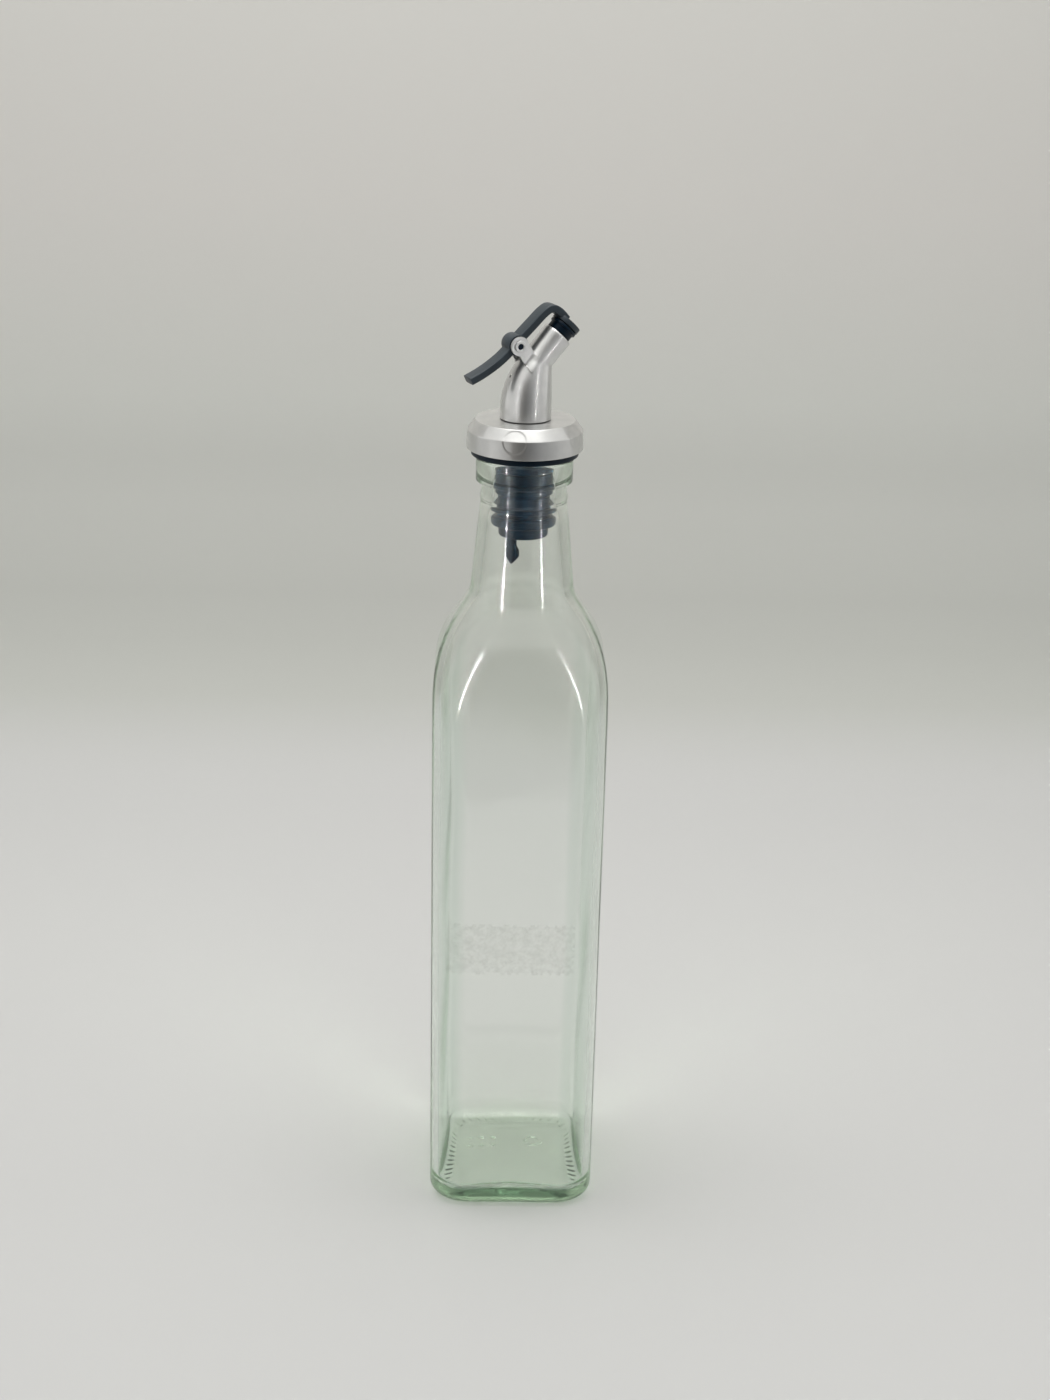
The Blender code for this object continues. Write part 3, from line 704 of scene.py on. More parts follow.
def underside_rings():
    """Rings from the middle of the hollow underside to the band that the bottle stands on."""
    bearing = HALF - HEEL_RADIUS
    punt = bearing - BEARING_WIDTH
    rings = []
    for half in levels(0.0006, punt, 30):
        share = half / punt
        z = PUNT_DEPTH * (1 - share**2)
        ring = square_ring(z, half, CORNER_RADIUS * 0.45 * share)
        for point in ring:
            point.z -= MARK_DEPTH * base_mark(point.x, point.y)
        rings.append(ring)
    band = (
        (punt + 0.0004, 0.5),
        (bearing - 0.0006, 1.0),
        (bearing, 1.0),
        (bearing + 0.0010, 1.0),
        (bearing + 0.0018, 0.7),
    )
    for half, deep in band:
        inset = HALF - half
        low = 0.0
        if half > bearing:
            low = HEEL_RADIUS * (1 - math.cos(math.asin(1 - inset / HEEL_RADIUS)))
        ring = square_ring(low, half, CORNER_RADIUS - inset * 0.6)
        for index, point in enumerate(ring):
            wave = 0.5 - 0.5 * math.cos(2 * math.pi * index / GRIP_STEPS)
            point.z += GRIP_DEPTH * deep * wave
        rings.append(ring)
    return rings


def lip_profile():
    """(radius, z) from the neck, round the lip, to the foot of the straight bore."""
    step = 0.00022
    points = [(outer_neck(SEAM_HEIGHT - 0.0002), SEAM_HEIGHT - 0.0002)]
    points.append((outer_neck(SEAM_HEIGHT) + step * 0.5, SEAM_HEIGHT - 0.0001))
    points.append((outer_neck(SEAM_HEIGHT) + step, SEAM_HEIGHT + 0.0001))
    points.append((outer_neck(SEAM_HEIGHT) + step, SEAM_HEIGHT + 0.0010))
    neck = outer_neck(LIP_FOOT)
    for turn in levels(0.0, math.pi / 2, 5):
        radius = neck + LIP_EDGE * (1 - math.cos(turn))
        points.append((radius, LIP_FOOT - LIP_EDGE * (1 - math.sin(turn))))
    for turn in levels(0.0, math.pi / 2, 5):
        radius = LIP_RADIUS - LIP_EDGE * (1 - math.sin(turn))
        points.append((radius, LIP_FOOT + LIP_EDGE * (1 - math.cos(turn))))
    for turn in levels(0.0, math.pi / 2, 7):
        radius = LIP_RADIUS - LIP_ROUND * (1 - math.cos(turn))
        points.append((radius, GLASS_HEIGHT - LIP_ROUND * (1 - math.sin(turn))))
    for turn in levels(0.0, math.pi / 2, 5):
        radius = BORE_RADIUS + LIP_ROUND / 2 * (1 - math.sin(turn))
        points.append((radius, GLASS_HEIGHT - LIP_ROUND / 2 * (1 - math.cos(turn))))
    points.append((BORE_RADIUS, BORE_FOOT))
    return points


def curve_point(points, share):
    """A point of a smooth curve that runs through the points, at a share of the way."""
    place = min(share * (len(points) - 1), len(points) - 1.0000001)
    index = int(place)
    t = place - index
    before = points[max(index - 1, 0)]
    start = points[index]
    end = points[index + 1]
    after = points[min(index + 2, len(points) - 1)]
    made = []
    for a, b, c, d in zip(before, start, end, after):
        slope_start = (c - a) / 2
        slope_end = (d - b) / 2
        cubic = (2 * t**3 - 3 * t**2 + 1) * b + (t**3 - 2 * t**2 + t) * slope_start
        made.append(cubic + (3 * t**2 - 2 * t**3) * c + (t**3 - t**2) * slope_end)
    return made


def uneven(ring, depth):
    """Makes an inner ring a little wavy, as blown glass is."""
    for point in ring:
        wave = math.sin(point.z * 95.0 + 2.0 * math.sin(math.atan2(point.y, point.x) * 2.0 + 0.6))
        wave += 0.6 * math.sin(point.z * 41.0 + math.atan2(point.y, point.x) * 3.0)
        point.x *= 1 + depth * wave
        point.y *= 1 + depth * wave
    return ring


def make_glass():
    """One closed skin of rings: under the base, up the outside, over the lip and down the inside."""
    rings = underside_rings()
    for turn in levels(math.radians(34), math.pi / 2, 9):
        inset = HEEL_RADIUS * (1 - math.sin(turn))
        z = HEEL_RADIUS * (1 - math.cos(turn))
        rings.append(square_ring(z, HALF - inset, CORNER_RADIUS - inset * 0.6))
    for z in levels(0.020, 0.150, 7) + levels(0.156, 0.234, 40) + levels(0.240, 0.250, 2):
        rings.append(body_ring(z, HALF, CORNER_RADIUS, 0.0, outer_neck(z)))
    for radius, z in lip_profile():
        rings.append(square_ring(z, radius, radius))
    first_inner = len(rings)
    inner = [0.2510, 0.2495, 0.2480, 0.2465, 0.2448, 0.2430]
    inner += levels(0.240, 0.156, 34) + levels(0.148, 0.020, 12)
    for z in inner:
        ring = body_ring(z, HALF - WALL, INNER_CORNER_RADIUS, WALL, inner_neck(z))
        rings.append(uneven(ring, INNER_WAVE * min(max((0.245 - z) / 0.05, 0.0), 1.0)))
    for turn in levels(0.0, math.pi / 2, 10):
        inset = FLOOR_FILLET * (1 - math.cos(turn))
        z = FLOOR + FLOOR_FILLET * (1 - math.sin(turn))
        rings.append(square_ring(z, HALF - WALL - inset, INNER_CORNER_RADIUS - inset * 0.6))
    edge = HALF - WALL - FLOOR_FILLET
    for half in levels(edge, 0.0010, 10)[1:]:
        share = half / edge
        z = FLOOR + FLOOR_RISE * (1 - share**2)
        rings.append(square_ring(z, half, INNER_CORNER_RADIUS * 0.64 * share))
    for ring in rings[first_inner:]:
        for point in ring:
            low = min(max((0.02 - point.z) / 0.01, 0.0), 1.0)
            point.z -= CORNER_SAG * low * (abs(point.x * point.y) / (HALF - WALL) ** 2) ** 1.5
    return new_piece("glass_body", skinned(rings), green_glass(), "bottle", ["bottle_glass"], 60.0)


def make_glue_film():
    """The film a label left: a torn patch on the front, close against the glass."""
    bm = bmesh.new()
    left, right = FILM_SIDES
    low, high = FILM_HEIGHTS
    columns, rows = FILM_CELLS
    grid = []
    for row in range(rows + 1):
        z = low + (high - low) * row / rows
        line = []
        for column in range(columns + 1):
            x = left + (right - left) * column / columns
            inset = max(abs(x) - (HALF - CORNER_RADIUS), 0.0)
            depth = CORNER_RADIUS - math.sqrt(max(CORNER_RADIUS**2 - inset**2, 0.0))
            line.append(bm.verts.new((x, -HALF + depth - FILM_LIFT, z)))
        grid.append(line)
    for row in range(rows):
        for column in range(columns):
            x = left + (right - left) * (column + 0.5) / columns
            z = low + (high - low) * (row + 0.5) / rows
            edge = min(x - left, right - x, (z - low) * 1.3, (high - z) * 1.3)
            torn = 0.0007 + 0.0004 * math.sin(x * 700) + 0.0005 * math.sin(x * 2300 + z * 1900)
            if edge < torn * 0.8:
                continue
            near, far = grid[row], grid[row + 1]
            bm.faces.new([near[column], near[column + 1], far[column + 1], far[column]])
    loose = [vert for vert in bm.verts if not vert.link_faces]
    bmesh.ops.delete(bm, geom=loose, context="VERTS")
    bmesh.ops.solidify(bm, geom=bm.faces[:], thickness=FILM_THICKNESS)
    return new_piece("glue_film", bm, glue_film(), "bottle")


# Stopper, collar and spout

def fin_profile(top, foot, radius, root):
    """A round-edged fin that stands out from the plug, top to bottom."""
    points = [(root, top)]
    for turn in levels(math.pi / 2, 0.0, 6):
        points.append((radius - FIN_ROUND * (1 - math.cos(turn)), top - FIN_ROUND * (1 - math.sin(turn))))
    for turn in levels(0.0, math.pi / 2, 6):
        points.append((radius - FIN_ROUND * (1 - math.cos(turn)), foot + FIN_ROUND * (1 - math.sin(turn))))
    return points + [(root, foot)]


def make_stopper():
    """The gasket, head and finned plug with the oil's bore through them, and the air tail below."""
    rubber = black_rubber()
    gasket_foot = GLASS_HEIGHT + GAP
    gasket_top = gasket_foot + GASKET_THICKNESS
    head_top = COLLAR_TOP - COLLAR_SKIN - GAP
    profile = [(0.0, head_top), (STOPPER_HEAD_RADIUS, head_top), (STOPPER_HEAD_RADIUS, gasket_top)]
    profile += [(GASKET_RADIUS, gasket_top), (GASKET_RADIUS, gasket_foot), (PLUG_TOP_RADIUS, gasket_foot)]
    for top, foot in TIGHT_FINS:
        profile += fin_profile(top, foot, TIGHT_FIN_RADIUS, PLUG_TOP_RADIUS)
    profile += [(PLUG_TOP_RADIUS, PLUG_TOP_FOOT), (PLUG_RADIUS, PLUG_TOP_FOOT - FIN_ROUND)]
    for top, foot in FREE_FINS:
        profile += fin_profile(top, foot, FREE_FIN_RADIUS, PLUG_RADIUS)
    profile += [(PLUG_TIP_RADIUS, FREE_FINS[1][1] - FIN_ROUND)]
    profile += [(PLUG_TIP_RADIUS, STOPPER_BOTTOM + PLUG_TIP_CHAMFER)]
    profile += [(PLUG_TIP_RADIUS - PLUG_TIP_CHAMFER, STOPPER_BOTTOM), (0.0, STOPPER_BOTTOM)]
    bm = turned(rounded(profile, 0.0003, 3))
    stopper = new_piece("stopper_plug", bm, rubber, "bottle", ["stopper"])
    bore = Matrix.Translation((FLOW_BORE_X, 0.0, (head_top + STOPPER_BOTTOM) / 2))
    combine(stopper, cylinder(FLOW_BORE_RADIUS, head_top - STOPPER_BOTTOM + 0.01, 40, bore), "DIFFERENCE")
    make_air_tail(rubber)
    return rubber


def make_air_tail(rubber):
    """The air tube's end: a short shank, a wider head and a point."""
    top = STOPPER_BOTTOM - GAP
    neck = top - TAIL_SHANK
    head = neck - TAIL_HEAD
    wide = TAIL_X + TAIL_HEAD_SHIFT
    sections = [
        (top, TAIL_X, TAIL_WIDTH, TAIL_WIDTH),
        (neck + 0.0003, TAIL_X, TAIL_WIDTH, TAIL_WIDTH),
        (neck - TAIL_HEAD * 0.4, wide, TAIL_HEAD_WIDTH, TAIL_WIDTH),
        (head, wide, TAIL_HEAD_WIDTH, TAIL_WIDTH),
        (head - TAIL_POINT * 0.6, TAIL_X + TAIL_HEAD_SHIFT * 0.4, TAIL_WIDTH * 0.65, TAIL_WIDTH * 0.7),
        (head - TAIL_POINT, TAIL_X, TAIL_WIDTH * 0.12, TAIL_WIDTH * 0.2),
    ]
    rings = []
    for z, centre, width, depth in sections:
        ring = []
        for step in range(48):
            angle = 2 * math.pi * step / 48
            across = math.copysign(abs(math.cos(angle)) ** 0.7, math.cos(angle)) * width / 2
            deep = math.copysign(abs(math.sin(angle)) ** 0.7, math.sin(angle)) * depth / 2
            ring.append(Vector((centre + across, deep, z)))
        rings.append(ring)
    new_piece("stopper_air_tail", skinned(rings), rubber, "bottle", ["air_tail"])


def split_up(profile, length):
    """A closed profile with points added along its long stretches."""
    made = []
    for start, end in zip(profile, profile[1:] + profile[:1]):
        count = max(round(math.hypot(end[0] - start[0], end[1] - start[1]) / length), 1)
        for step in range(count):
            t = step / count
            made.append((start[0] + (end[0] - start[0]) * t, start[1] + (end[1] - start[1]) * t))
    return made


def dimple_push(point):
    """How far the round dimples press in a point of the collar's outside."""
    spacing = 2 * math.pi / DIMPLE_COUNT
    turn = math.atan2(point.y, point.x) - DIMPLE_FIRST
    turn -= spacing * round(turn / spacing)
    reach = math.hypot(point.x, point.y)
    across = reach * math.sin(turn)
    along = (reach * math.cos(turn) - COLLAR_EDGE_RADIUS) * math.sin(DIMPLE_LEAN)
    along -= (point.z - COLLAR_EDGE) * math.cos(DIMPLE_LEAN)
    edge = (DIMPLE_RADIUS - math.hypot(across, along)) / 0.0003
    depth = DIMPLE_DEPTH * min(max(edge, 0.0), 1.0)
    middle = DIMPLE_FIRST + spacing * round((math.atan2(point.y, point.x) - DIMPLE_FIRST) / spacing)
    lean = math.cos(DIMPLE_LEAN)
    inward = Vector((math.cos(middle) * lean, math.sin(middle) * lean, math.sin(DIMPLE_LEAN)))
    return inward * depth


def make_collar():
    """The turned cup over the lip, with its faint round dimples."""
    recess = STOPPER_HEAD_RADIUS + GAP
    roof = COLLAR_TOP - COLLAR_SKIN
    profile = [
        (COLLAR_HOLE_RADIUS, COLLAR_TOP),
        (COLLAR_TOP_RADIUS, COLLAR_TOP),
        (COLLAR_EDGE_RADIUS, COLLAR_EDGE),
        (COLLAR_RADIUS, COLLAR_FOOT),
        (recess, COLLAR_FOOT),
        (recess, roof),
        (COLLAR_HOLE_RADIUS, roof),
    ]
    bm = turned(split_up(rounded(profile, 0.00018, 3), 0.0003), 480)
    for vert in bm.verts:
        if math.hypot(vert.co.x, vert.co.y) > COLLAR_TOP_RADIUS - 0.0002 and vert.co.z > COLLAR_FOOT + 0.0002:
            vert.co -= dimple_push(vert.co)
    return new_piece("collar_cup", bm, brushed_steel("turned_steel", True), "bottle", ["collar"])


def in_plane(out, side, z):
    """A point of the pourer's plane, moved off it along the pin."""
    return POURER_OUT * out + POURER_SIDE * side + UP * z


def mouth_axis():
    """Unit vectors (out, z) along the mouth tube, and across it towards the underside."""
    along = (math.sin(MOUTH_LEAN), math.cos(MOUTH_LEAN))
    across = (math.cos(MOUTH_LEAN), -math.sin(MOUTH_LEAN))
    return along, across


def spout_edges(station):
    """The (out, z) ends of the spout's cross-section, on its back and on its inner side."""
    along, across = mouth_axis()
    mouth_back = (MOUTH_OUT - MOUTH_RADIUS * across[0], MOUTH_Z - MOUTH_RADIUS * across[1])
    mouth_front = (MOUTH_OUT + MOUTH_RADIUS * across[0], MOUTH_Z + MOUTH_RADIUS * across[1])
    reach = (mouth_front[0] - SPOUT_RADIUS) / along[0]
    kink = (SPOUT_RADIUS, mouth_front[1] - reach * along[1])
    foot_z = COLLAR_TOP + GAP
    centre = (-SPOUT_RADIUS + BEND_RADIUS, BEND_START)
    if station <= 1:
        z = foot_z + (BEND_START - foot_z) * station
        return (-SPOUT_RADIUS, z), (SPOUT_RADIUS, z)
    share = min(station - 1, 1.0)
    turn = MOUTH_LEAN * share
    back = (centre[0] - BEND_RADIUS * math.cos(turn), centre[1] + BEND_RADIUS * math.sin(turn))
    front = (kink[0], BEND_START + (kink[1] - BEND_START) * share)
    if station > 2:
        share = station - 2
        back = tuple(a + (b - a) * share for a, b in zip(back, mouth_back))
        front = tuple(a + (b - a) * share for a, b in zip(front, mouth_front))
    return back, front


def spout_section(station):
    """Centre (out, z), radius, and unit vector from the centre to the inner side."""
    back, front = spout_edges(station)
    centre = ((back[0] + front[0]) / 2, (back[1] + front[1]) / 2)
    reach = (front[0] - centre[0], front[1] - centre[1])
    radius = math.hypot(*reach)
    return centre, radius, (reach[0] / radius, reach[1] / radius)


def spout_ring(station, inset):
    centre, radius, reach = spout_section(station)
    radius -= inset
    ring = []
    for step in range(ROUND_STEPS):
        angle = 2 * math.pi * step / ROUND_STEPS
        along = radius * math.cos(angle)
        side = radius * math.sin(angle)
        ring.append(in_plane(centre[0] + along * reach[0], side, centre[1] + along * reach[1]))
    return ring


def make_spout(steel):
    """The bent tube, open at both ends, with the small air hole in its back."""
    stations = levels(0.0, 1.0, 3) + levels(1.05, 2.0, 19) + levels(2.1, 2.95, 9)
    rings = [spout_ring(station, 0.0) for station in stations]
    rings.append(spout_ring(2.985, 0.00004))
    rings.append(spout_ring(3.0, 0.00015))
    rings.append(spout_ring(3.0, SPOUT_WALL - 0.00015))
    rings.append(spout_ring(2.985, SPOUT_WALL - 0.00004))
    rings += [spout_ring(station, SPOUT_WALL) for station in reversed(stations)]
    bm = skinned(rings, closed=True)
    spout = new_piece("spout_tube", bm, steel, "bottle", ["spout"])
    place = in_plane(-SPOUT_RADIUS, 0.0, VENT_Z)
    turn = Matrix.Rotation(POURER_TURN, 4, "Z") @ Matrix.Rotation(math.pi / 2, 4, "Y")
    combine(spout, cylinder(VENT_RADIUS, 0.006, 20, Matrix.Translation(place) @ turn), "DIFFERENCE")


def spout_half_depth(out, z):
    """How far the spout's outside stands from its plane at a point of the plane."""
    best = (1.0, 0.0)
    for station in levels(1.0, 3.0, 200):
        centre, radius, reach = spout_section(station)
        offset = (out - centre[0], z - centre[1])
        along = offset[0] * reach[0] + offset[1] * reach[1]
        miss = abs(offset[0] * reach[1] - offset[1] * reach[0])
        if miss < best[0]:
            best = (miss, math.sqrt(max(radius**2 - along**2, 0.0)))
    return best[1]


# Ears, pin, lever and seal

def pin_frame(side):
    """A frame at the pin whose Z runs along it, away from the front."""
    turn = Matrix.Rotation(POURER_TURN, 4, "Z") @ Matrix.Rotation(-math.pi / 2, 4, "X")
    return Matrix.Translation(in_plane(PIN_OUT, side, PIN_Z)) @ turn


def ear_outline():
    """(along, up) points of an ear, from its foot's front corner round the head to the back one."""
    points = [(EAR_FOOT_LENGTH / 2, 0.0), EAR_SHOULDER]
    for turn in levels(math.radians(-15), math.radians(215), 40):
        along = EAR_HEAD_ALONG + EAR_HEAD_RADIUS * math.cos(turn)
        points.append((along, EAR_HEAD_UP + EAR_HEAD_RADIUS * math.sin(turn)))
    points.append((-EAR_FOOT_LENGTH / 2, 0.0))
    return points


def ear_point(along, up):
    """(out, z) of a point of an ear, whose head is centred on the pin."""
    along -= EAR_HEAD_ALONG
    up -= EAR_HEAD_UP
    sine = math.sin(EAR_FOOT_LEAN)
    cosine = math.cos(EAR_FOOT_LEAN)
    return PIN_OUT + along * sine - up * cosine, PIN_Z + along * cosine + up * sine


def make_ear(name, node, sign, steel):
    """A plate that stands clear of the lever, and whose foot lies on the side of the spout."""
    bm = bmesh.new()
    bm.faces.new([bm.verts.new((along, up, 0.0)) for along, up in ear_outline()])
    for up in levels(0.0, EAR_HEAD_UP + 0.002, 22)[1:]:
        geom = bm.verts[:] + bm.edges[:] + bm.faces[:]
        bmesh.ops.bisect_plane(bm, geom=geom, plane_co=(0.0, up, 0.0), plane_no=(0.0, 1.0, 0.0))
    for along in levels(-0.0020, 0.0044, 12):
        geom = bm.verts[:] + bm.edges[:] + bm.faces[:]
        bmesh.ops.bisect_plane(bm, geom=geom, plane_co=(along, 0.0, 0.0), plane_no=(1.0, 0.0, 0.0))
    bmesh.ops.triangulate(bm, faces=bm.faces)
    inner = bm.verts[:]
    extruded = bmesh.ops.extrude_face_region(bm, geom=bm.faces[:])["geom"]
    outer = {item for item in extruded if isinstance(item, bmesh.types.BMVert)}
    for vert in inner + list(outer):
        out, z = ear_point(vert.co.x, vert.co.y)
        side = smooth_max(EAR_INSIDE, spout_half_depth(out, z) + GAP, 0.0012)
        side += EAR_THICKNESS if vert in outer else 0.0
        vert.co = in_plane(out, sign * side, z)
    ear = new_piece(name, bm, steel, "bottle", [node])
    combine(ear, cylinder(PIN_RADIUS + GAP, 0.02, 32, pin_frame(0.0)), "DIFFERENCE")
    round_edges(ear, EAR_EDGE)


def make_pin(steel, rubber):
    """A hollow rivet with a round-edged head outside each ear, and a dark plug in its bore that stands in for
    the shade inside it.
    """
    head = EAR_INSIDE + EAR_THICKNESS + GAP / 2
    end = head + PIN_HEAD_THICKNESS
    profile = [
        (PIN_BORE_RADIUS, end),
        (PIN_HEAD_RADIUS, end),
        (PIN_HEAD_RADIUS, head),
        (PIN_RADIUS, head),
        (PIN_RADIUS, -head),
        (PIN_HEAD_RADIUS, -head),
        (PIN_HEAD_RADIUS, -end),
        (PIN_BORE_RADIUS, -end),
    ]
    bm = turned(rounded(profile, 0.00022, 4, sharp=(2, 3, 4, 5)), 48)
    bmesh.ops.transform(bm, matrix=pin_frame(0.0), verts=bm.verts)
    new_piece("hollow_rivet", bm, steel, "bottle", ["pin"])
    # Painted shade: a dark rubber plug filling the bore, its ends sunk a little inside
    depth = end - BORE_SHADE_SINK
    bore_shade = [
        (0.0, depth - BORE_SHADE_EDGE),
        (PIN_BORE_RADIUS - 0.00012, depth - BORE_SHADE_EDGE),
        (PIN_BORE_RADIUS - 0.00001, depth - 2 * BORE_SHADE_EDGE),
    ]
    bore_shade += [(radius, -z) for radius, z in reversed(bore_shade)]
    bm = turned(bore_shade, 32)
    bmesh.ops.transform(bm, matrix=pin_frame(0.0), verts=bm.verts)
    new_piece("rivet_core", bm, rubber, "bottle")


def lever_ring(share):
    """A flat section with rounded edges, square to the lever's middle line."""
    out, up = curve_point(LEVER_LINE, share)
    before = curve_point(LEVER_LINE, max(share - 0.01, 0.0))
    after = curve_point(LEVER_LINE, min(share + 0.01, 1.0))
    length = math.hypot(after[0] - before[0], after[1] - before[1])
    normal = (-(after[1] - before[1]) / length, (after[0] - before[0]) / length)
    half = LEVER_THICKNESS / 2
    width = LEVER_WIDTH / 2
    radius = LEVER_ROUND
    ring = []
    for turn, sign_thick, sign_side in ((0.0, 1, 1), (0.5, -1, 1), (1.0, -1, -1), (1.5, 1, -1)):
        for step in range(6):
            angle = math.pi * (turn + step / 10)
            thick = sign_thick * (half - radius) + radius * math.cos(angle)
            side = sign_side * (width - radius) + radius * math.sin(angle)
            ring.append(in_plane(PIN_OUT + out + thick * normal[0], side, PIN_Z + up + thick * normal[1]))
    return ring


def mouth_frame(lift):
    """A frame on the mouth's axis, whose Z points out of the mouth."""
    along, across = mouth_axis()
    turn = Matrix.Rotation(POURER_TURN, 4, "Z") @ Matrix.Rotation(MOUTH_LEAN, 4, "Y")
    place = in_plane(MOUTH_OUT + along[0] * lift, 0.0, MOUTH_Z + along[1] * lift)
    return Matrix.Translation(place) @ turn


def make_lever():
    """The bent handle with its hub between the ears and its cap over the mouth."""
    rings = [lever_ring(share) for share in levels(0.0, 1.0, 90)]
    lever = new_piece("pourer_lever", skinned(rings), grey_plastic(), "lever", ["lever"])
    combine(lever, cylinder(HUB_RADIUS, HUB_WIDTH, 64, pin_frame(0.0)), "UNION")
    cap = mouth_frame(CAP_LIFT + CAP_THICKNESS / 2)
    combine(lever, cylinder(CAP_RADIUS, CAP_THICKNESS, 64, cap), "UNION")
    combine(lever, cylinder(PIN_RADIUS + GAP, 0.02, 32, pin_frame(0.0)), "DIFFERENCE")
    round_edges(lever, LEVER_EDGE)


def make_seal(rubber):
    top = CAP_LIFT - GAP
    profile = [
        (0.0, top),
        (SEAL_FLANGE_RADIUS, top),
        (SEAL_FLANGE_RADIUS, SEAL_STEP),
        (SEAL_BODY_RADIUS, SEAL_STEP),
        (SEAL_BODY_RADIUS, GAP),
        (SEAL_PLUG_RADIUS, GAP),
        (SEAL_PLUG_TIP, -SEAL_PLUG_DEPTH),
        (0.0, -SEAL_PLUG_DEPTH),
    ]
    bm = turned(rounded(profile, 0.0003, 4), 72)
    bmesh.ops.transform(bm, matrix=mouth_frame(0.0), verts=bm.verts)
    new_piece("mouth_seal", bm, rubber, "lever", ["seal"])


# Stage and lights

def make_stage():
    """A floor that turns up into a wall behind the bottle."""
    bm = bmesh.new()
    profile = [(STAGE_FRONT, 0.0), (0.30, 0.0)]
    for turn in levels(0.0, math.pi / 2, 12):
        profile.append((STAGE_BACK + STAGE_TURN * math.sin(turn), STAGE_TURN * (1 - math.cos(turn))))
    profile.append((STAGE_BACK + STAGE_TURN, STAGE_HEIGHT))
    verts = [bm.verts.new((-STAGE_WIDTH / 2, y, z)) for y, z in profile]
    edges = [bm.edges.new(pair) for pair in zip(verts, verts[1:])]
    grown = bmesh.ops.extrude_edge_only(bm, edges=edges)["geom"]
    moved = [item for item in grown if isinstance(item, bmesh.types.BMVert)]
    bmesh.ops.translate(bm, verts=moved, vec=(STAGE_WIDTH, 0.0, 0.0))
    mesh = bpy.data.meshes.new("stage")
    bm.to_mesh(mesh)
    bm.free()
    mesh.shade_smooth()
    mesh.materials.append(stage_painted_light_and_shade())
    stage = bpy.data.objects.new("stage", mesh)
    bpy.context.scene.collection.objects.link(stage)


def add_area(name, place, target, width, height, power, colour):
    """A flat lamp at a place, turned to face a target."""
    data = bpy.data.lights.new(name, "AREA")
    data.shape = "RECTANGLE"
    data.size = width
    data.size_y = height
    data.energy = power
    data.color = colour
    light = bpy.data.objects.new(name, data)
    light.location = place
    aim = Vector(target) - Vector(place)
    light.rotation_euler = aim.to_track_quat("-Z", "Y").to_euler()
    bpy.context.scene.collection.objects.link(light)
    return light


def add_strip(name, azimuth, radiance, pieces):
    """A strip of small lamps at the front of the tent, which shines back from the given pieces alone."""
    turn = math.radians(azimuth)
    width, height = STRIP_SIZE
    light = add_area(
        name,
        (STRIP_DISTANCE * math.sin(turn), -STRIP_DISTANCE * math.cos(turn), STRIP_MIDDLE),
        (0.0, 0.0, STRIP_MIDDLE),
        width,
        height,
        radiance * math.pi * width * height,
        (1.0, 1.0, 1.0),
    )
    light.visible_diffuse = False
    light.visible_transmission = False
    lit = bpy.data.collections.new(name)
    for piece in pieces:
        lit.objects.link(bpy.data.objects[piece])
    light.light_linking.receiver_collection = lit
    light.data.use_nodes = True
    nodes = light.data.node_tree.nodes
    links = light.data.node_tree.links
    place = nodes.new("ShaderNodeNewGeometry")
    parts = nodes.new("ShaderNodeSeparateXYZ")
    links.new(place.outputs["Parametric"], parts.inputs["Vector"])
    count = add_math(nodes, links, "MULTIPLY", parts.outputs["Y"], STRIP_LAMPS)
    saw = add_math(nodes, links, "FRACT", count)
    dots = add_math(nodes, links, "LESS_THAN", saw, 0.5)
    power = add_math(nodes, links, "MULTIPLY", dots, 2.0)
    links.new(power, nodes["Emission"].inputs["Strength"])


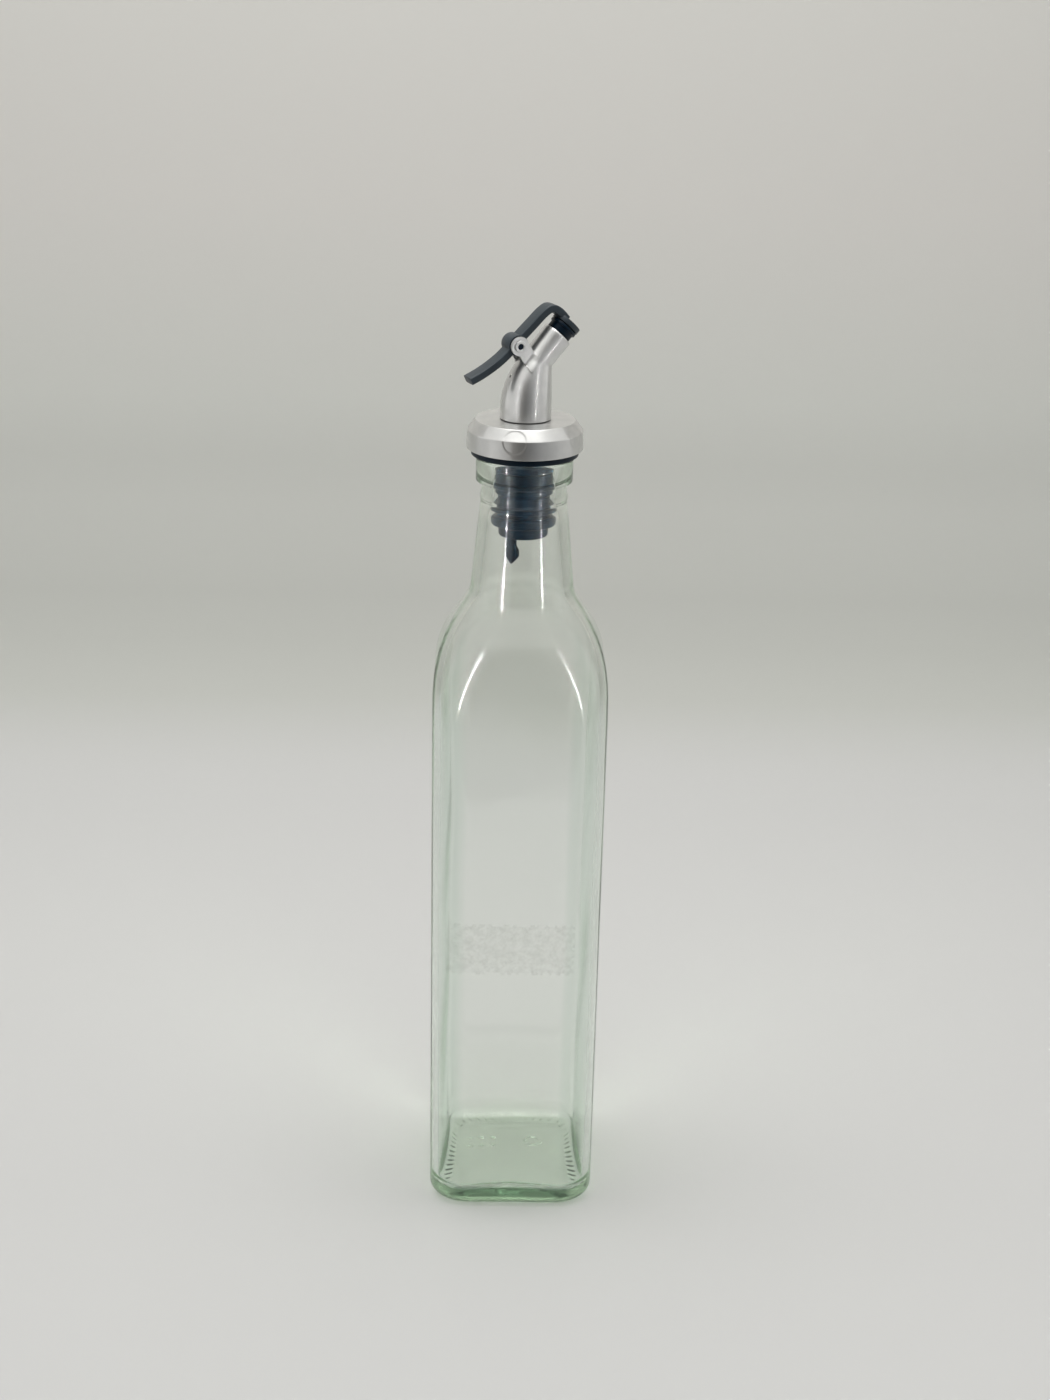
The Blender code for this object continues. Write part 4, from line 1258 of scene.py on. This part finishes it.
def add_world():
    """Soft light from a white tent all round, with its dark opening towards the camera."""
    world = bpy.data.worlds.new("studio")
    world.use_nodes = True
    nodes = world.node_tree.nodes
    links = world.node_tree.links
    background = nodes["Background"]
    place = nodes.new("ShaderNodeTexCoord")
    parts = nodes.new("ShaderNodeSeparateXYZ")
    links.new(place.outputs["Generated"], parts.inputs["Vector"])
    front = add_math(nodes, links, "MULTIPLY", parts.outputs["Y"], -1.0)
    turn = add_node(nodes, "ShaderNodeMath", operation="ARCTAN2")
    links.new(parts.outputs["X"], turn.inputs[0])
    links.new(front, turn.inputs[1])
    share = add_node(nodes, "ShaderNodeMapRange", From_Min=-math.pi, From_Max=math.pi)
    links.new(turn.outputs["Value"], share.inputs["Value"])
    stops = [(0.5 + azimuth / 360.0, colour) for azimuth, colour in TENT]
    tent = ramp(nodes, stops)
    links.new(share.outputs["Result"], tent.inputs["Fac"])
    above = add_node(nodes, "ShaderNodeMapRange", From_Min=ROOF_RISE[0], From_Max=ROOF_RISE[1])
    links.new(parts.outputs["Z"], above.inputs["Value"])
    mix = add_node(nodes, "ShaderNodeMixRGB", Color2=TENT_ROOF)
    links.new(above.outputs["Result"], mix.inputs["Fac"])
    links.new(tent.outputs["Color"], mix.inputs["Color1"])
    links.new(mix.outputs["Color"], background.inputs["Color"])
    background.inputs["Strength"].default_value = 1.0
    bpy.context.scene.world = world


def add_lights():
    scene = bpy.context.scene
    scene.view_settings.view_transform = "Standard"
    scene.cycles.max_bounces = 24
    scene.cycles.glossy_bounces = 16
    scene.cycles.transmission_bounces = 24
    scene.cycles.caustics_reflective = False
    add_world()
    add_area("top_light", (0.0, -0.05, 1.10), (0.0, 0.0, 0.0), 0.7, 0.7, TOP_POWER, LAMP_COLOUR)
    add_area("wall_light", (-0.15, 0.05, 0.95), (-0.05, 0.47, 0.50), 0.8, 0.3, WALL_POWER, LAMP_COLOUR)


def add_strips():
    """Two strips that shine sharply in the glass, and a fainter pair in the steel."""
    steel = []
    for piece in bpy.data.objects:
        slots = [slot for slot in getattr(piece.data, "materials", []) if slot]
        if any(slot.name.startswith("brushed_steel") for slot in slots):
            steel.append(piece.name)
    for name, azimuth in STRIPS:
        add_strip("glass_strip_" + name, azimuth, GLASS_STRIP, ["glass_body"])
        add_strip("steel_strip_" + name, azimuth, STEEL_STRIP, steel)


def main():
    add_camera()
    make_stage()
    add_lights()
    make_glass()
    make_glue_film()
    rubber = make_stopper()
    make_collar()
    steel = brushed_steel("brushed_steel", False)
    make_spout(steel)
    make_ear("ear_near_plate", "ear_near", -1, steel)
    make_ear("ear_far_plate", "ear_far", 1, steel)
    make_pin(steel, rubber)
    make_lever()
    make_seal(rubber)
    add_strips()


main()
